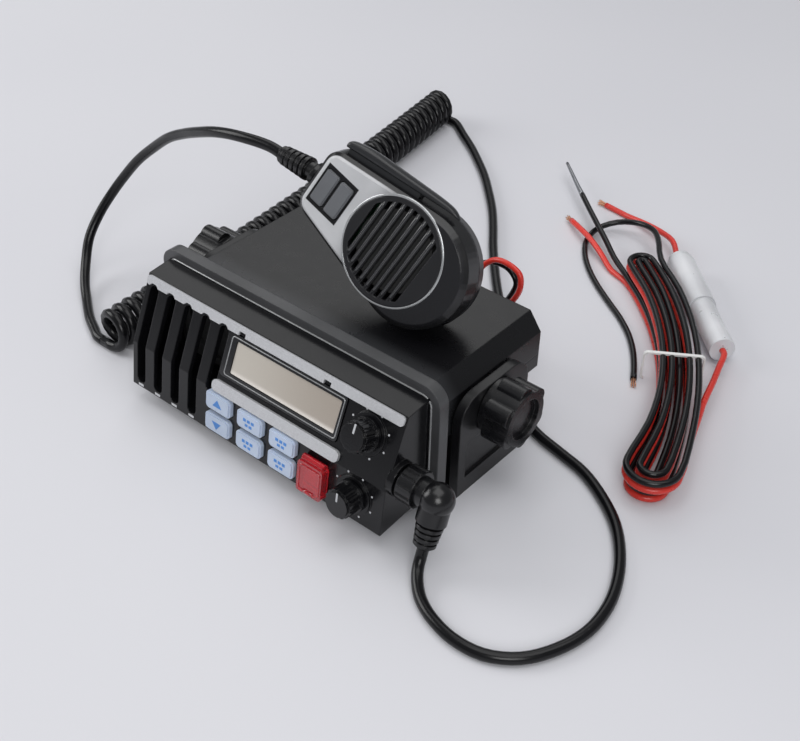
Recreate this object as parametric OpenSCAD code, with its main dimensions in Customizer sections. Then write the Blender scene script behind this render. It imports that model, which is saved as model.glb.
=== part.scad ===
// Fixed-mount VHF marine radio on its gimbal bracket, with fist microphone, curly cord and power lead.
// Millimetres, +Z up. The front panel faces -Y and the origin is at the middle of the bracket's underside.

/* [Radio head] */
// Width of the front rim
rim_w = 165; // [150:1:180]
// Height of the front rim's top above the surface
rim_top = 69; // [66:0.5:74]
// Height of the front rim's bottom above the surface
rim_low = 9; // [7:0.5:12]
// Thickness of the rim from front to back
rim_t = 5.8; // [4:0.1:8]
// Corner radius of the rim
rim_r = 9; // [6:0.5:12]
// Half width of the flat top of the case
top_half = 68.5; // [60:0.5:72]
// Half width of the case at its side walls
side_half = 75; // [70:0.5:76]
// Drop from the rim's top to the flat top of the case
top_drop = 8.8; // [7:0.1:10]
// Length of the case behind the rim
case_l = 75.6; // [68:0.5:90]
// Wall of the case
wall = 2.4; // [2:0.1:3]

/* [Front panel] */
// Forward reach of the panel's top edge from the rim
panel_top_out = 13.2; // [11:0.2:16]
// Forward reach of the crease between display and keypad
panel_mid_out = 27; // [25:0.2:29]
// Forward reach of the panel's bottom edge
panel_low_out = 30.2; // [29.4:0.2:33]
// Half width of the panel at its front
panel_half = 77; // [74:0.5:79]
// Thickness of the panel's skin
panel_t = 2.6; // [2.2:0.1:3.2]
// Number of speaker slots
slot_count = 5; // [3:1:5]
// Distance between speaker slots
slot_pitch = 11.4; // [11:0.1:11.5]
// Width of a speaker slot
slot_w = 5.6; // [4.6:0.1:6.5]
// Width of the display window
lcd_w = 61; // [56:0.5:62]
// Height of the display window
lcd_h = 15; // [13:0.5:16]
// Width of a key
key_w = 15.4; // [13:0.1:16]
// Height of a key
key_h = 9.2; // [8:0.1:10]
// Distance between key columns
key_pitch_x = 19.6; // [18.8:0.1:20.4]
// Distance between key rows
key_pitch_y = 11.2; // [10.8:0.1:12]
// Travel of a key
key_travel = 0.8; // [0.5:0.1:1.2]

/* [Dials] */
// Diameter of a dial
dial_d = 13.6; // [12:0.2:16]
// Length of a dial in front of the panel
dial_l = 11; // [9:0.5:14]
// Diameter of a dial shaft
shaft_d = 6; // [5:0.1:7]

/* [Bracket] */
// Thickness of the bracket's arms and base
arm_t = 4.5; // [3.5:0.1:6]
// Depth of the bracket from front to back
arm_w = 48; // [40:1:54]
// Gap between the case and an arm
arm_gap = 2; // [1.6:0.1:3]
// Height of the top of the arms
arm_top = 52; // [50:0.5:56]
// Height of the tilt axis above the surface
pivot_z = 39; // [36:0.5:42]
// Thickness of the bracket's base
base_t = 4; // [3:0.1:5]
// Distance between mounting holes along the width
hole_x = 90; // [60:1:110]
// Distance between mounting holes from front to back
hole_y = 26; // [20:1:30]
// Diameter of a mounting hole
hole_d = 5.2; // [4:0.1:6]
// Diameter of a clamp knob
knob_d = 31; // [26:0.5:34]
// Length of a clamp knob
knob_l = 16; // [12:0.5:20]
// Diameter of a clamp knob's screw
stud_d = 6; // [5:0.1:7]

/* [Microphone] */
// Radius of the wide end of the microphone
mic_r = 27; // [25:0.5:29]
// Distance from the grille's centre to the narrow end
mic_tail = 50; // [47:0.5:54]
// Half width of the narrow end
mic_neck = 17.5; // [16:0.5:19]
// Thickness of the microphone
mic_t = 26; // [24:0.5:30]
// Radius of the round grille
grille_r = 23.6; // [22:0.2:24.2]
// Roll of the microphone about its long axis
mic_roll = 66; // [60:1:72]
// Pitch of the microphone's long axis
mic_pitch = 23.5; // [20:0.5:26]
// Travel of the talk switch
ptt_travel = 1.2; // [0.8:0.1:1.6]

/* [Cords] */
// Diameter of the microphone cord
cord_d = 5.2; // [4.6:0.1:5.4]
// Outer diameter of the curly cord
curl_d = 22; // [20:0.5:24]
// Number of curls
curls = 46; // [20:1:50]
// Diameter of a power wire
wire_d = 3.2; // [2.6:0.1:3.2]
// Half length of the folded power lead
hank_half = 97; // [85:1:105]

/* [Hidden] */

fine = 48;
eps = 0.01;
fit = 0.05;
slip = 0.3;

// Where the case stands
rim_front = -40;
rim_back = rim_front + rim_t;
case_top = rim_top - top_drop;
case_back = rim_back + case_l;
chamfer_h = 8.9;
side_top = case_top - chamfer_h;
side_low = 32;
case_low = 21;
low_half = side_half - (side_low - case_low) * 0.7;
split_z = pivot_z;

// Panel corners in the Y-Z plane
pa = [rim_front - panel_top_out, rim_top - 6.5];
// The crease stands over the bottom edge by the height of the two key rows
key_gap = 0.3;
key_edge = 0.5;
pc = [rim_front - panel_low_out, rim_low - 0.2];
pb = [rim_front - panel_mid_out, pc[1] + key_h + key_pitch_y + 2.2];
up_len = norm(pb - pa);
low_len = norm(pc - pb);
up_tilt = atan2(pa[0] - pb[0], pa[1] - pb[1]);
low_tilt = atan2(pb[0] - pc[0], pb[1] - pc[1]);

// Places on the panel
dial_x = 61;
dial_s_up = 15;
dial_s_low = 10;
lcd_x = 14;
lcd_s = up_len / 2 - 1.4;
key_x0 = -18.6;
key_s0 = key_h / 2 + key_edge;
key_foot = 4.2;
key_stand = 1.6;
key_top = 2.3;
cover_x = 40;
cover_w = 14;
cover_h = 17;
cover_s = 12;
slot_x0 = -71.4;
dial_boss = 1.2;
antenna_d = 15.8;
insert_d = 10;
insert_l = 8;

// Microphone and its grille centre
mic_at = [27, -6, 95.8];

// Plug on the right-hand end of the panel
plug_y = -58.5;
plug_z = 34;
plug_d = 16;
plug_x = panel_half + 3;

// Bracket
arm_in = side_half + arm_gap;
arm_out = arm_in + arm_t;

// Places a child in the upper or the lower plane of the panel: x along the width, y up the slope, z outwards
module on_upper(x, s) {
    translate([x, pa[0] + (pb[0] - pa[0]) * s / up_len, pa[1] + (pb[1] - pa[1]) * s / up_len])
        rotate([90 - up_tilt, 0, 0])
            children();
}

module on_lower(x, s) {
    translate([x, pb[0] + (pc[0] - pb[0]) * s / low_len, pb[1] + (pc[1] - pb[1]) * s / low_len])
        rotate([90 - low_tilt, 0, 0])
            children();
}

module rounded(w, h, r) {
    square([w - 2 * r, h], center = true);
    square([w, h - 2 * r], center = true);
    for (x = [-1, 1])
        for (y = [-1, 1])
            translate([x * (w / 2 - r), y * (h / 2 - r)])
                circle(r = r, $fn = fine);
}

module block(w, h, r, l) {
    linear_extrude(height = l)
        rounded(w, h, r);
}

module along_x(x0, x1, d) {
    translate([x0, 0, 0])
        rotate([0, 90, 0])
            cylinder(d = d, h = x1 - x0, $fn = fine);
}

// Octagonal outline of the case in the X-Z plane, drawn in by t
module case_outline(t) {
    polygon([
        [-top_half + t * 0.6, case_top - t], [top_half - t * 0.6, case_top - t],
        [side_half - t, side_top - t * 0.4], [side_half - t, side_low + t * 0.4],
        [low_half - t * 0.6, case_low + t], [-low_half + t * 0.6, case_low + t],
        [-side_half + t, side_low + t * 0.4], [-side_half + t, side_top - t * 0.4]
    ]);
}

module case_solid(y0, y1, t) {
    translate([0, y1, 0])
        rotate([90, 0, 0])
            linear_extrude(height = y1 - y0)
                case_outline(t);
}

// ---------- bracket and clamps ----------

module arm_outline() {
    r = 12;
    half = arm_w / 2;
    translate([-half, 0])
        square([arm_w, arm_top - r]);
    translate([-half + r, 0])
        square([arm_w - 2 * r, arm_top]);
    for (s = [-1, 1])
        translate([s * (half - r), arm_top - r])
            circle(r = r, $fn = fine);
}

module arm(x0, l) {
    translate([x0, 0, 0])
        rotate([90, 0, 90])
            linear_extrude(height = l)
                arm_outline();
}

module bracket() {
    rim = 5;
    color("#1c1c1e")
    difference() {
        union() {
            translate([-arm_out, -arm_w / 2, 0])
                cube([2 * arm_out, arm_w, base_t]);
            for (s = [0, 1])
                mirror([s, 0, 0])
                    arm(arm_in, arm_t);
        }
        for (s = [0, 1])
            mirror([s, 0, 0]) {
                translate([0, 0, pivot_z])
                    along_x(arm_in - 1, arm_out + 1, stud_d + 0.6);
                translate([arm_out - 1.2, -arm_w / 2 + rim, base_t + rim])
                    cube([2, arm_w - 2 * rim, pivot_z - base_t - 2 * rim - 6]);
            }
        for (x = [-1, 1])
            for (y = [-1, 1])
                translate([x * hole_x / 2, y * hole_y / 2, -1])
                    cylinder(d = hole_d, h = base_t + 2, $fn = fine);
    }
}

// The screw is moulded into the knob
module clamp_knob() {
    lobes = 6;
    lobe_d = 9.2;
    x0 = arm_out + slip;
    hub_d = knob_d * 0.62;
    color("#161617")
    translate([0, 0, pivot_z])
        union() {
            difference() {
                union() {
                    along_x(x0, x0 + knob_l, knob_d - 5);
                    for (i = [0:lobes - 1])
                        rotate([i * 360 / lobes, 0, 0])
                            translate([0, 0, (knob_d - lobe_d) / 2])
                                along_x(x0 + 3, x0 + knob_l - 0.8, lobe_d);
                }
                along_x(x0 + knob_l - 2.2, x0 + knob_l + 1, hub_d);
            }
            along_x(side_half - insert_l + 1, x0 + 2, stud_d);
        }
}

module clamp_knob_right() {
    clamp_knob();
}

module clamp_knob_left() {
    mirror([1, 0, 0])
        clamp_knob();
}

module friction_washers() {
    color("#303032")
    for (s = [0, 1])
        mirror([s, 0, 0])
            translate([0, 0, pivot_z])
                difference() {
                    along_x(side_half + 0.1, arm_in, 20);
                    along_x(side_half - 1, arm_in + 1, stud_d + 1);
                }
}

// ---------- case ----------

module case_half(z0, z1) {
    difference() {
        intersection() {
            case_solid(rim_back, case_back, 0);
            translate([-side_half - 1, rim_back, z0])
                cube([2 * side_half + 2, case_l, z1 - z0]);
        }
        case_solid(rim_back - 1, case_back - wall, wall);
        for (s = [0, 1])
            mirror([s, 0, 0])
                translate([0, 0, pivot_z])
                    along_x(side_half - wall - 1, side_half + 1, insert_d + 2 * fit);
        children();
    }
}

module top_cover() {
    color("#2b2c2f")
    case_half(split_z + fit, case_top + 1);
}

fin_count = 12;
fin_l = 5;
fin_t = 2;
fin_h = 14;
antenna_x = -38;
antenna_z = 32.5;
antenna_body_d = 12;
antenna_flange_d = 19;
gland_x = 18;
gland_z = 32.5;
gland_d = 8;
gland_flange_d = 12;
board_z = 35;
board_t = 1.6;
board_front = rim_back + 13;
board_l = case_back - wall - 3 - board_front;
post_x = 52;
post_d = 6;

module rear_hole(x, z, d) {
    translate([x, case_back + 1, z])
        rotate([90, 0, 0])
            cylinder(d = d + 2 * fit, h = wall + 2, $fn = fine);
}

module chassis() {
    fin_edge = low_half - 6;
    fin_pitch = 2 * fin_edge / (fin_count - 1);
    color("#242527")
        union() {
            case_half(case_low - 1, split_z) {
                rear_hole(antenna_x, antenna_z, antenna_body_d);
                rear_hole(gland_x, gland_z, gland_d);
            }
            for (i = [0:fin_count - 1]) {
                x = i * fin_pitch - fin_edge;
                clear = min(abs(x - antenna_x) - antenna_flange_d / 2, abs(x - gland_x) - gland_flange_d / 2);
                if (clear > fin_t)
                    translate([x - fin_t / 2, case_back - eps, case_low + 0.2])
                        cube([fin_t, fin_l, fin_h]);
            }
            for (x = [-post_x, post_x])
                for (y = [board_front + 5, board_front + board_l - 5])
                    translate([x, y, case_low + wall - eps])
                        cylinder(d = post_d, h = board_z - case_low - wall + eps, $fn = fine);
        }
}

module rim_slab(w, h, r, y0, y1) {
    translate([0, y1, (rim_top + rim_low) / 2])
        rotate([90, 0, 0])
            block(w, h, r, y1 - y0);
}

// The rim frames the rear edge of the front housing
rim_edge = 5.2;
low_edge = 2;
hole_h = rim_top - rim_low - rim_edge - low_edge;
housing_back = rim_front + 1;

module rim_hole(gap, y0, y1) {
    translate([-panel_half - gap, y0, rim_low + low_edge - gap])
        cube([2 * (panel_half + gap), y1 - y0, hole_h + 2 * gap]);
}

module front_rim() {
    color("#6a6b6d")
    difference() {
        rim_slab(rim_w, rim_top - rim_low, rim_r, rim_front, rim_back - fit);
        rim_hole(0.1, rim_front - 1, rim_back + 1);
    }
}

module case_seal() {
    color("#151515")
    difference() {
        rim_hole(0, rim_back - 1.6, rim_back - fit);
        case_solid(rim_back - 3, rim_back + 1, wall + 1.4);
        for (x = [-1, 1])
            for (z = [screw_z_top, screw_z_low])
                translate([x * screw_x, rim_back - 5, z])
                    rotate([-90, 0, 0])
                        cylinder(d = 6, h = 8, $fn = fine);
    }
}

// Front housing: a hollow wedge from the rim to the panel
module housing_section(t) {
    polygon([
        [housing_back, rim_top - rim_edge - t],
        [pa[0] + t, pa[1] - t],
        [pb[0] + t, pb[1]],
        [pc[0] + t, pc[1] + t],
        [housing_back, rim_low + low_edge + t]
    ]);
}

module housing_solid(t, half) {
    translate([-half, 0, 0])
        rotate([90, 0, 90])
            linear_extrude(height = 2 * half)
                housing_section(t);
}

module key_places() {
    for (i = [0:5])
        on_lower(key_x0 + floor(i / 2) * key_pitch_x, key_s0 + (i % 2) * key_pitch_y)
            children();
}

module dial_seat() {
    translate([0, 0, -1])
        cylinder(d = dial_d + 5, h = dial_boss + 1, $fn = fine);
}

module front_housing() {
    color("#1d1e20")
    difference() {
        union() {
            housing_solid(0, panel_half);
            translate([0, plug_y, plug_z])
                along_x(panel_half - 1, plug_x - 0.4, plug_d);
            on_upper(dial_x, dial_s_up)
                dial_seat();
            on_lower(dial_x, dial_s_low)
                dial_seat();
        }
        difference() {
            housing_solid(panel_t, panel_half - panel_t);
            translate([0, plug_y, plug_z])
                along_x(panel_half - 8, panel_half, plug_d);
        }
        translate([-panel_half + panel_t, housing_back - 1, rim_low + low_edge + panel_t])
            cube([2 * (panel_half - panel_t), 2, hole_h - 2 * panel_t]);
        for (i = [0:slot_count - 1]) {
            on_upper(slot_x0 + i * slot_pitch, up_len / 2 + 2.6)
                translate([0, -1, -8])
                    block(slot_w, up_len - 2, 2.6, 12);
            if (i < slot_count - 1)
                on_lower(slot_x0 + i * slot_pitch, low_len / 2 - 4.25)
                    translate([0, 0, -8])
                        block(slot_w, low_len + 3.5, 2.6, 12);
        }
        on_upper(lcd_x - 1.6, lcd_s)
            translate([0, 0, -8])
                block(lcd_w + 9, lcd_h + 6.4, 2, 12);
        on_upper(dial_x, dial_s_up)
            translate([0, 0, -8])
                cylinder(d = shaft_d + 0.6, h = 12, $fn = fine);
        on_lower(dial_x, dial_s_low)
            translate([0, 0, -8])
                cylinder(d = shaft_d + 0.6, h = 12, $fn = fine);
        key_places()
            translate([0, 0, -key_foot - key_travel - 0.2])
                block(key_w + 2 * key_gap, key_h + 2 * key_gap, 2.4, 12);
        on_lower(cover_x, cover_s)
            translate([0, 0, -8])
                block(8.6, 7.6, 1.4, 12);
        translate([panel_half - 9, plug_y, plug_z])
            along_x(0, 14, 11);
    }
}

module silver_trim_upper() {
    color("#c9cacd")
    difference() {
        on_upper(0, 2.6)
            translate([0, 0, 0.05])
                block(2 * panel_half - 1.6, 4.6, 1.6, 1.1);
        for (x = [-14.6, 35.4])
            on_upper(x, 4.4)
                translate([0, 0, -1])
                    block(4, 3, 0.4, 4);
        for (i = [0:slot_count - 1])
            on_upper(slot_x0 + i * slot_pitch, 8)
                translate([0, 0, -1])
                    block(slot_w + 0.4, 9, 2.6, 6);
    }
}

module silver_trim_lower() {
    color("#c9cacd")
    difference() {
        on_upper(13.6, up_len - 2.9)
            translate([0, 0, 0.05])
                block(75, 5.4, 2.4, 1.6);
        translate([0, 0, -eps])
            housing_solid(-eps, panel_half);
    }
}

module display_bezel() {
    color("#131314")
    on_upper(lcd_x - 1.6, lcd_s)
        translate([0, 0, -2.4])
            difference() {
                block(lcd_w + 8.4, lcd_h + 5.8, 1.8, 2.9);
                translate([1.6, 0, 1.2])
                    block(lcd_w + 0.4, lcd_h + 0.4, 0.8, 4);
                translate([1.6, 0, -1])
                    block(lcd_w - 3, lcd_h - 3, 0.6, 6);
            }
}

module display_lens() {
    color("#d8d2cc")
    on_upper(lcd_x, lcd_s)
        translate([0, 0, -1.15])
            block(lcd_w, lcd_h, 0.6, 1.2);
}

module display_module() {
    color("#a8aba0")
    on_upper(lcd_x, lcd_s)
        translate([0, 0, -board_depth + 0.1])
            block(lcd_w + 3, lcd_h + 4, 0.6, board_depth - 2.8);
}

// Depth from the panel's face to the front of the boards, behind the feet of the keys by their travel
board_depth = key_foot + key_travel + 2;
low_board_h = low_len - 7.6;
board_right = 67.6;
post_right = 51.6;
post_left = -30;

// Two boards, one behind each slope of the panel, on posts from its skin
module front_board() {
    color("#2f5d3a") {
        on_upper((board_right + lcd_x - lcd_w / 2 - 4) / 2, up_len / 2 - 0.5)
            translate([0, 0, -board_depth - board_t])
                block(board_right - lcd_x + lcd_w / 2 + 4, up_len - 9, 1, board_t);
        on_lower((board_right + post_left - 2) / 2, 2 + low_board_h / 2)
            translate([0, 0, -board_depth - board_t])
                block(board_right - post_left + 2, low_board_h, 1, board_t);
        on_upper(post_right, up_len / 2)
            board_post();
        for (x = [post_left, post_right])
            on_lower(x, low_len / 2)
                board_post();
    }
}

module board_post() {
    translate([0, 0, -board_depth - eps])
        cylinder(d = 3.6, h = board_depth - panel_t - 0.5, $fn = fine);
}

module keypad_mat() {
    left = key_x0 - key_w / 2;
    right = cover_x + 5;
    color("#3a3c40")
        on_lower((left + right) / 2, 2 + low_board_h / 2)
            translate([0, 0, -board_depth + 0.05])
                block(right - left, low_board_h, 1, 1.2);
}

module dial_encoders() {
    color("#8c8d90") {
        on_upper(dial_x, dial_s_up)
            encoder();
        on_lower(dial_x, dial_s_low)
            encoder();
    }
}

module encoder() {
    body_l = board_depth - panel_t - 1;
    difference() {
        translate([0, 0, -board_depth + 0.05])
            block(11, 11, 1, body_l);
        translate([0, 0, -board_depth + 1])
            cylinder(d = shaft_d + 2 * fit, h = body_l, $fn = fine);
    }
}

module dial_shaft() {
    translate([0, 0, -board_depth + 1.2])
        cylinder(d = shaft_d, h = board_depth - 1.2 + dial_l - 2.6, $fn = fine);
}

module upper_shaft() {
    color("#b8b8bb")
    on_upper(dial_x, dial_s_up)
        dial_shaft();
}

module lower_shaft() {
    color("#b8b8bb")
    on_lower(dial_x, dial_s_low)
        dial_shaft();
}

module dial() {
    flutes = 14;
    z0 = dial_boss + slip;
    difference() {
        union() {
            translate([0, 0, z0])
                cylinder(d = dial_d, h = dial_l - z0 - 1, $fn = fine);
            translate([0, 0, dial_l - 1 - eps])
                cylinder(d = dial_d - 2, h = 1, $fn = fine);
            translate([0, 0, z0])
                cylinder(d = dial_d + 1.4, h = 1.6, $fn = fine);
        }
        translate([0, 0, -1])
            cylinder(d = shaft_d + 2 * fit, h = dial_l - 1.4, $fn = fine);
        for (i = [0:flutes - 1])
            rotate([0, 0, i * 360 / flutes])
                translate([dial_d / 2 + 0.5, 0, z0 + 2.4])
                    cylinder(d = 1.9, h = dial_l, $fn = 16);
    }
}

module upper_dial() {
    color("#141415")
    on_upper(dial_x, dial_s_up)
        dial();
}

module lower_dial() {
    color("#141415")
    on_lower(dial_x, dial_s_low)
        dial();
}

module key(i) {
    color("#bfc9da")
    on_lower(key_x0 + floor(i / 2) * key_pitch_x, key_s0 + (i % 2) * key_pitch_y)
        translate([0, 0, -key_foot]) {
            block(key_w, key_h, 2.2, key_foot + key_stand);
            block(key_w - 1.6, key_h - 1.6, 1.8, key_foot + key_top);
        }
}

module key_up() {
    key(0);
}

module key_down() {
    key(1);
}

module key_1() {
    key(2);
}

module key_2() {
    key(3);
}

module key_3() {
    key(4);
}

module key_4() {
    key(5);
}

hinge_d = 2.4;

module distress_cover() {
    color("#b02028")
    on_lower(cover_x, cover_s)
        difference() {
            union() {
                translate([0, -0.6, 0.3])
                    block(cover_w, cover_h - 1.2, 1.6, 4.4);
                translate([-cover_w / 2 + 1, cover_h / 2 - 1, 2])
                    rotate([0, 90, 0])
                        cylinder(d = hinge_d + 1.2, h = cover_w - 2, $fn = fine);
            }
            translate([0, -0.4, -1])
                block(cover_w - 3, cover_h - 5.4, 1, 4.4);
        }
}

module distress_key() {
    color("#c23038")
    on_lower(cover_x, cover_s)
        translate([0, 0, -key_foot])
            block(8, 7, 1.2, key_foot + 2);
}

// ---------- inside the head ----------

module threaded_inserts() {
    color("#b89a50")
    for (s = [0, 1])
        mirror([s, 0, 0])
            translate([0, 0, pivot_z])
                difference() {
                    union() {
                        along_x(side_half - insert_l, side_half, insert_d);
                        along_x(side_half - insert_l, side_half - wall - fit, insert_d + 2);
                    }
                    along_x(side_half - insert_l + 0.6, side_half + 1, stud_d + 2 * fit);
                }
}

screw_x = 62;
screw_z_top = case_top - wall - 3.2;
screw_z_low = case_low + wall + 3.2;

module case_screws() {
    color("#8a8a8e")
    for (x = [-1, 1])
        for (z = [screw_z_top, screw_z_low])
            translate([x * screw_x, rim_back - 2, z])
                rotate([-90, 0, 0]) {
                    cylinder(d = 3, h = 8, $fn = 24);
                    cylinder(d = 5.4, h = 2, $fn = 24);
                }
}

spk_d = 42;
spk_x = -49;
spk_z = rim_low + low_edge + hole_h / 2;
spk_plate_t = 2;
spk_face = housing_back + 0.1;

// The speaker's plate is seated top and bottom in the rim
module speaker_frame() {
    color("#38383a")
    translate([spk_x, spk_face + spk_plate_t, spk_z])
        rotate([90, 0, 0])
            difference() {
                union() {
                    block(spk_d + 5, hole_h, 1, spk_plate_t);
                    translate([0, 0, -10])
                        cylinder(d = 24, h = 11, $fn = fine);
                }
                translate([0, 0, -2])
                    cylinder(d = spk_d - 18, h = 8, $fn = fine);
                translate([0, 0, 0.6])
                    cylinder(d = spk_d, h = 8, $fn = fine);
            }
}

module speaker_cone() {
    color("#1a1a1a")
    translate([spk_x, spk_face + spk_plate_t, spk_z])
        rotate([90, 0, 0])
            difference() {
                translate([0, 0, 0.7])
                    cylinder(d = spk_d - 0.4, h = 3, $fn = fine);
                translate([0, 0, 1.9])
                    cylinder(d = spk_d - 7, h = 4, $fn = fine);
            }
}

module main_board() {
    color("#2f5d3a")
    translate([-62, board_front, board_z + fit])
        cube([124, board_l, board_t]);
}

module shield_can() {
    color("#b4b6b8")
    translate([-30, board_front + 9, board_z + board_t + 2 * fit])
        cube([66, 36, 9]);
}

module antenna_socket() {
    color("#b9babd")
    translate([antenna_x, case_back, antenna_z])
        rotate([-90, 0, 0])
            difference() {
                union() {
                    translate([0, 0, -5])
                        cylinder(d = antenna_body_d, h = 6, $fn = fine);
                    translate([0, 0, 0.05])
                        cylinder(d = antenna_flange_d, h = 2.4, $fn = fine);
                    translate([0, 0, 0.05])
                        cylinder(d = antenna_d, h = 14, $fn = fine);
                }
                translate([0, 0, 4])
                    cylinder(d = 12.4, h = 12, $fn = fine);
                translate([0, 0, -6])
                    cylinder(d = 5, h = 12, $fn = fine);
            }
}

module antenna_contact() {
    color("#d8c27a")
    translate([antenna_x, case_back, antenna_z])
        rotate([-90, 0, 0])
            difference() {
                cylinder(d = 4.9, h = 10.5, $fn = fine);
                translate([0, 0, 4])
                    cylinder(d = 3.9, h = 8, $fn = fine);
            }
}

gland_l = 7;

module lead_gland() {
    color("#171717")
    translate([gland_x, case_back, gland_z])
        rotate([-90, 0, 0]) {
            translate([0, 0, -4])
                cylinder(d = gland_d, h = 5, $fn = fine);
            translate([0, 0, 0.05])
                cylinder(d = gland_flange_d, h = 2.4, $fn = fine);
            translate([0, 0, 2])
                cylinder(d = 9, h = gland_l - 2, $fn = fine);
        }
}

module mic_socket() {
    color("#2a2a2c")
    translate([0, plug_y, plug_z])
        difference() {
            along_x(panel_half - 8.5, plug_x - 0.6, 10.8);
            along_x(panel_half - 3, plug_x + 2, 8.4);
        }
}

// ---------- microphone plug ----------

stem_tilt = 20;
stem_l = 21.5;
elbow_x = plug_x + 17;
boot_d = 10.4;
stem_dir = [0, -sin(stem_tilt), -cos(stem_tilt)];
boot_end = [elbow_x, plug_y, plug_z] + stem_l * stem_dir;

module plug_body() {
    barrel_d = 12.6;
    color("#151516")
        union() {
            translate([0, plug_y, plug_z]) {
                along_x(plug_x - 4.6, plug_x + 1, 8);
                along_x(plug_x + 0.2, elbow_x, barrel_d);
            }
            translate([elbow_x, plug_y, plug_z])
                sphere(d = 15, $fn = fine);
            translate([elbow_x, plug_y, plug_z])
                rotate([180 - stem_tilt, 0, 0]) {
                    cylinder(d = 13.4, h = 10, $fn = fine);
                    cylinder(d = boot_d - 2, h = stem_l, $fn = fine);
                    for (i = [0:3])
                        translate([0, 0, 11.4 + i * 2.6])
                            cylinder(d = boot_d + 1.4 - i * 0.6, h = 1.6, $fn = fine);
                }
        }
}

module plug_ring() {
    color("#1b1b1c")
    translate([0, plug_y, plug_z])
        difference() {
            union() {
                along_x(plug_x + 1, plug_x + 9, plug_d);
                for (i = [0:11])
                    rotate([i * 30, 0, 0])
                        translate([0, 0, plug_d / 2])
                            along_x(plug_x + 1.6, plug_x + 8.4, 1.4);
            }
            along_x(plug_x, plug_x + 10, 12.6 + 2 * fit);
        }
}

// ---------- microphone ----------

mic_cx = 11;
neck_r = 8;

module place_mic() {
    translate(mic_at)
        rotate([mic_roll, mic_pitch, 0])
            children();
}

// One slice of the microphone: a round wide end, a narrow end and the tangents between them
module mic_slice(z, h, inset) {
    translate([0, 0, z])
        linear_extrude(height = h)
            mic_outline(inset);
}

module mic_outline(t) {
    r = mic_r - t;
    n = mic_neck - t;
    x0 = -mic_tail + t;
    q = max(neck_r - t, 2);
    lean = asin((r - n) / (mic_cx + mic_tail - neck_r));
    translate([mic_cx, 0])
        circle(r = r, $fn = 64);
    for (s = [-1, 1])
        translate([x0 + q, s * (n - q)])
            circle(r = q, $fn = 32);
    polygon([
        [mic_cx - r * sin(lean), r * cos(lean)],
        [x0 + q - q * sin(lean), n - q + q * cos(lean)],
        [x0, n - q], [x0, q - n],
        [x0 + q - q * sin(lean), -(n - q + q * cos(lean))],
        [mic_cx - r * sin(lean), -r * cos(lean)]
    ]);
}

mic_split = -11;

module mic_solid(top, low, t) {
    hull() {
        mic_slice(top - 0.2, 0.2, 3.4 + t);
        mic_slice(top - 2.4, 0.2, 0.8 + t);
        mic_slice(low, 0.2, t);
    }
}

module mic_back_solid(t) {
    hull() {
        mic_slice(mic_split - slip - 0.2, 0.2, t);
        mic_slice(mic_split - 6, 0.2, 0.6 + t);
        mic_slice(-mic_t + t, 0.2, 7 + t);
    }
}

module mic_front_shell() {
    color("#9c9ea3")
    place_mic()
        difference() {
            mic_solid(0, mic_split, 0);
            mic_solid(-2, mic_split - 1, 2.2);
            translate([0, 0, -3.4])
                cylinder(r = grille_r + 0.2, h = 5, $fn = 64);
            for (x = [key_l_x, key_r_x])
                translate([x, 0, -8])
                    block(7.6, 16.6, 1.4, 10);
            talk_place()
                cube([talk_l + 0.8, 2 * talk_reach + 2 * ptt_travel + 1, talk_h + 0.8], center = true);
            boot_hole();
        }
}

module boot_hole() {
    translate([0, mic_end[1], mic_end[2]])
        along_x(-mic_tail - 3, -mic_tail + 5, boot_neck_d + 0.4);
}

module mic_back_shell() {
    color("#4a4b4e")
    place_mic()
        difference() {
            union() {
                mic_back_solid(0);
                translate([8, 0, -mic_t - 3])
                    cylinder(d = 13, h = 6, $fn = fine);
                translate([8, 0, -mic_t - 5])
                    cylinder(d = 17, h = 2.2, $fn = fine);
            }
            mic_back_solid(2.2);
            translate([0, 0, mic_split - 2.6])
                linear_extrude(height = 4)
                    mic_outline(2.3);
            boot_hole();
        }
}

key_l_x = -41;
key_r_x = -32.6;

module mic_grille() {
    slots = 9;
    color("#202124")
    place_mic()
        difference() {
            union() {
                translate([0, 0, -3.3])
                    cylinder(r = grille_r, h = 3.6, $fn = 64);
            }
            translate([0, 0, -4.3])
                cylinder(r = grille_r - 2.2, h = 2.4, $fn = 64);
            intersection() {
                for (i = [0:slots - 1])
                    translate([-17.4 + i * 3.9, 0, -1])
                        cube([1.9, 60, 6], center = true);
                cylinder(r = grille_r - 2.4, h = 8, center = true, $fn = 64);
            }
        }
}

module mic_speaker() {
    color("#4c4c4e")
    place_mic()
        translate([0, 0, -6.4]) {
            cylinder(d = 36, h = 4.4, $fn = fine);
            translate([0, 0, -4])
                cylinder(d = 18, h = 5, $fn = fine);
        }
}

module mic_board() {
    color("#2f5d3a")
    place_mic()
        translate([0, 0, mic_split - 5])
            linear_extrude(height = board_t)
                intersection() {
                    mic_outline(3.4);
                    translate([-mic_tail, -mic_r])
                        square([mic_tail - 20, 2 * mic_r]);
                }
}

module mic_key(x) {
    color("#8f9196")
    place_mic()
        translate([x, 0, -7]) {
            block(7, 16, 1.2, 7.6);
            block(6, 15, 1, 8.1);
        }
}

module mic_key_left() {
    mic_key(key_l_x);
}

module mic_key_right() {
    mic_key(key_r_x);
}

// The talk switch lies in the upper long side, along the tangent of the outline
talk_l = 38;
talk_h = 4.8;
talk_reach = 3.4;
talk_x = -25;
mic_lean = asin((mic_r - mic_neck) / (mic_cx + mic_tail - neck_r));

module talk_place() {
    translate([talk_x, (mic_r + (talk_x - mic_cx) * sin(mic_lean)) / cos(mic_lean), -7.4])
        rotate([0, 0, mic_lean])
            children();
}

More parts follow.
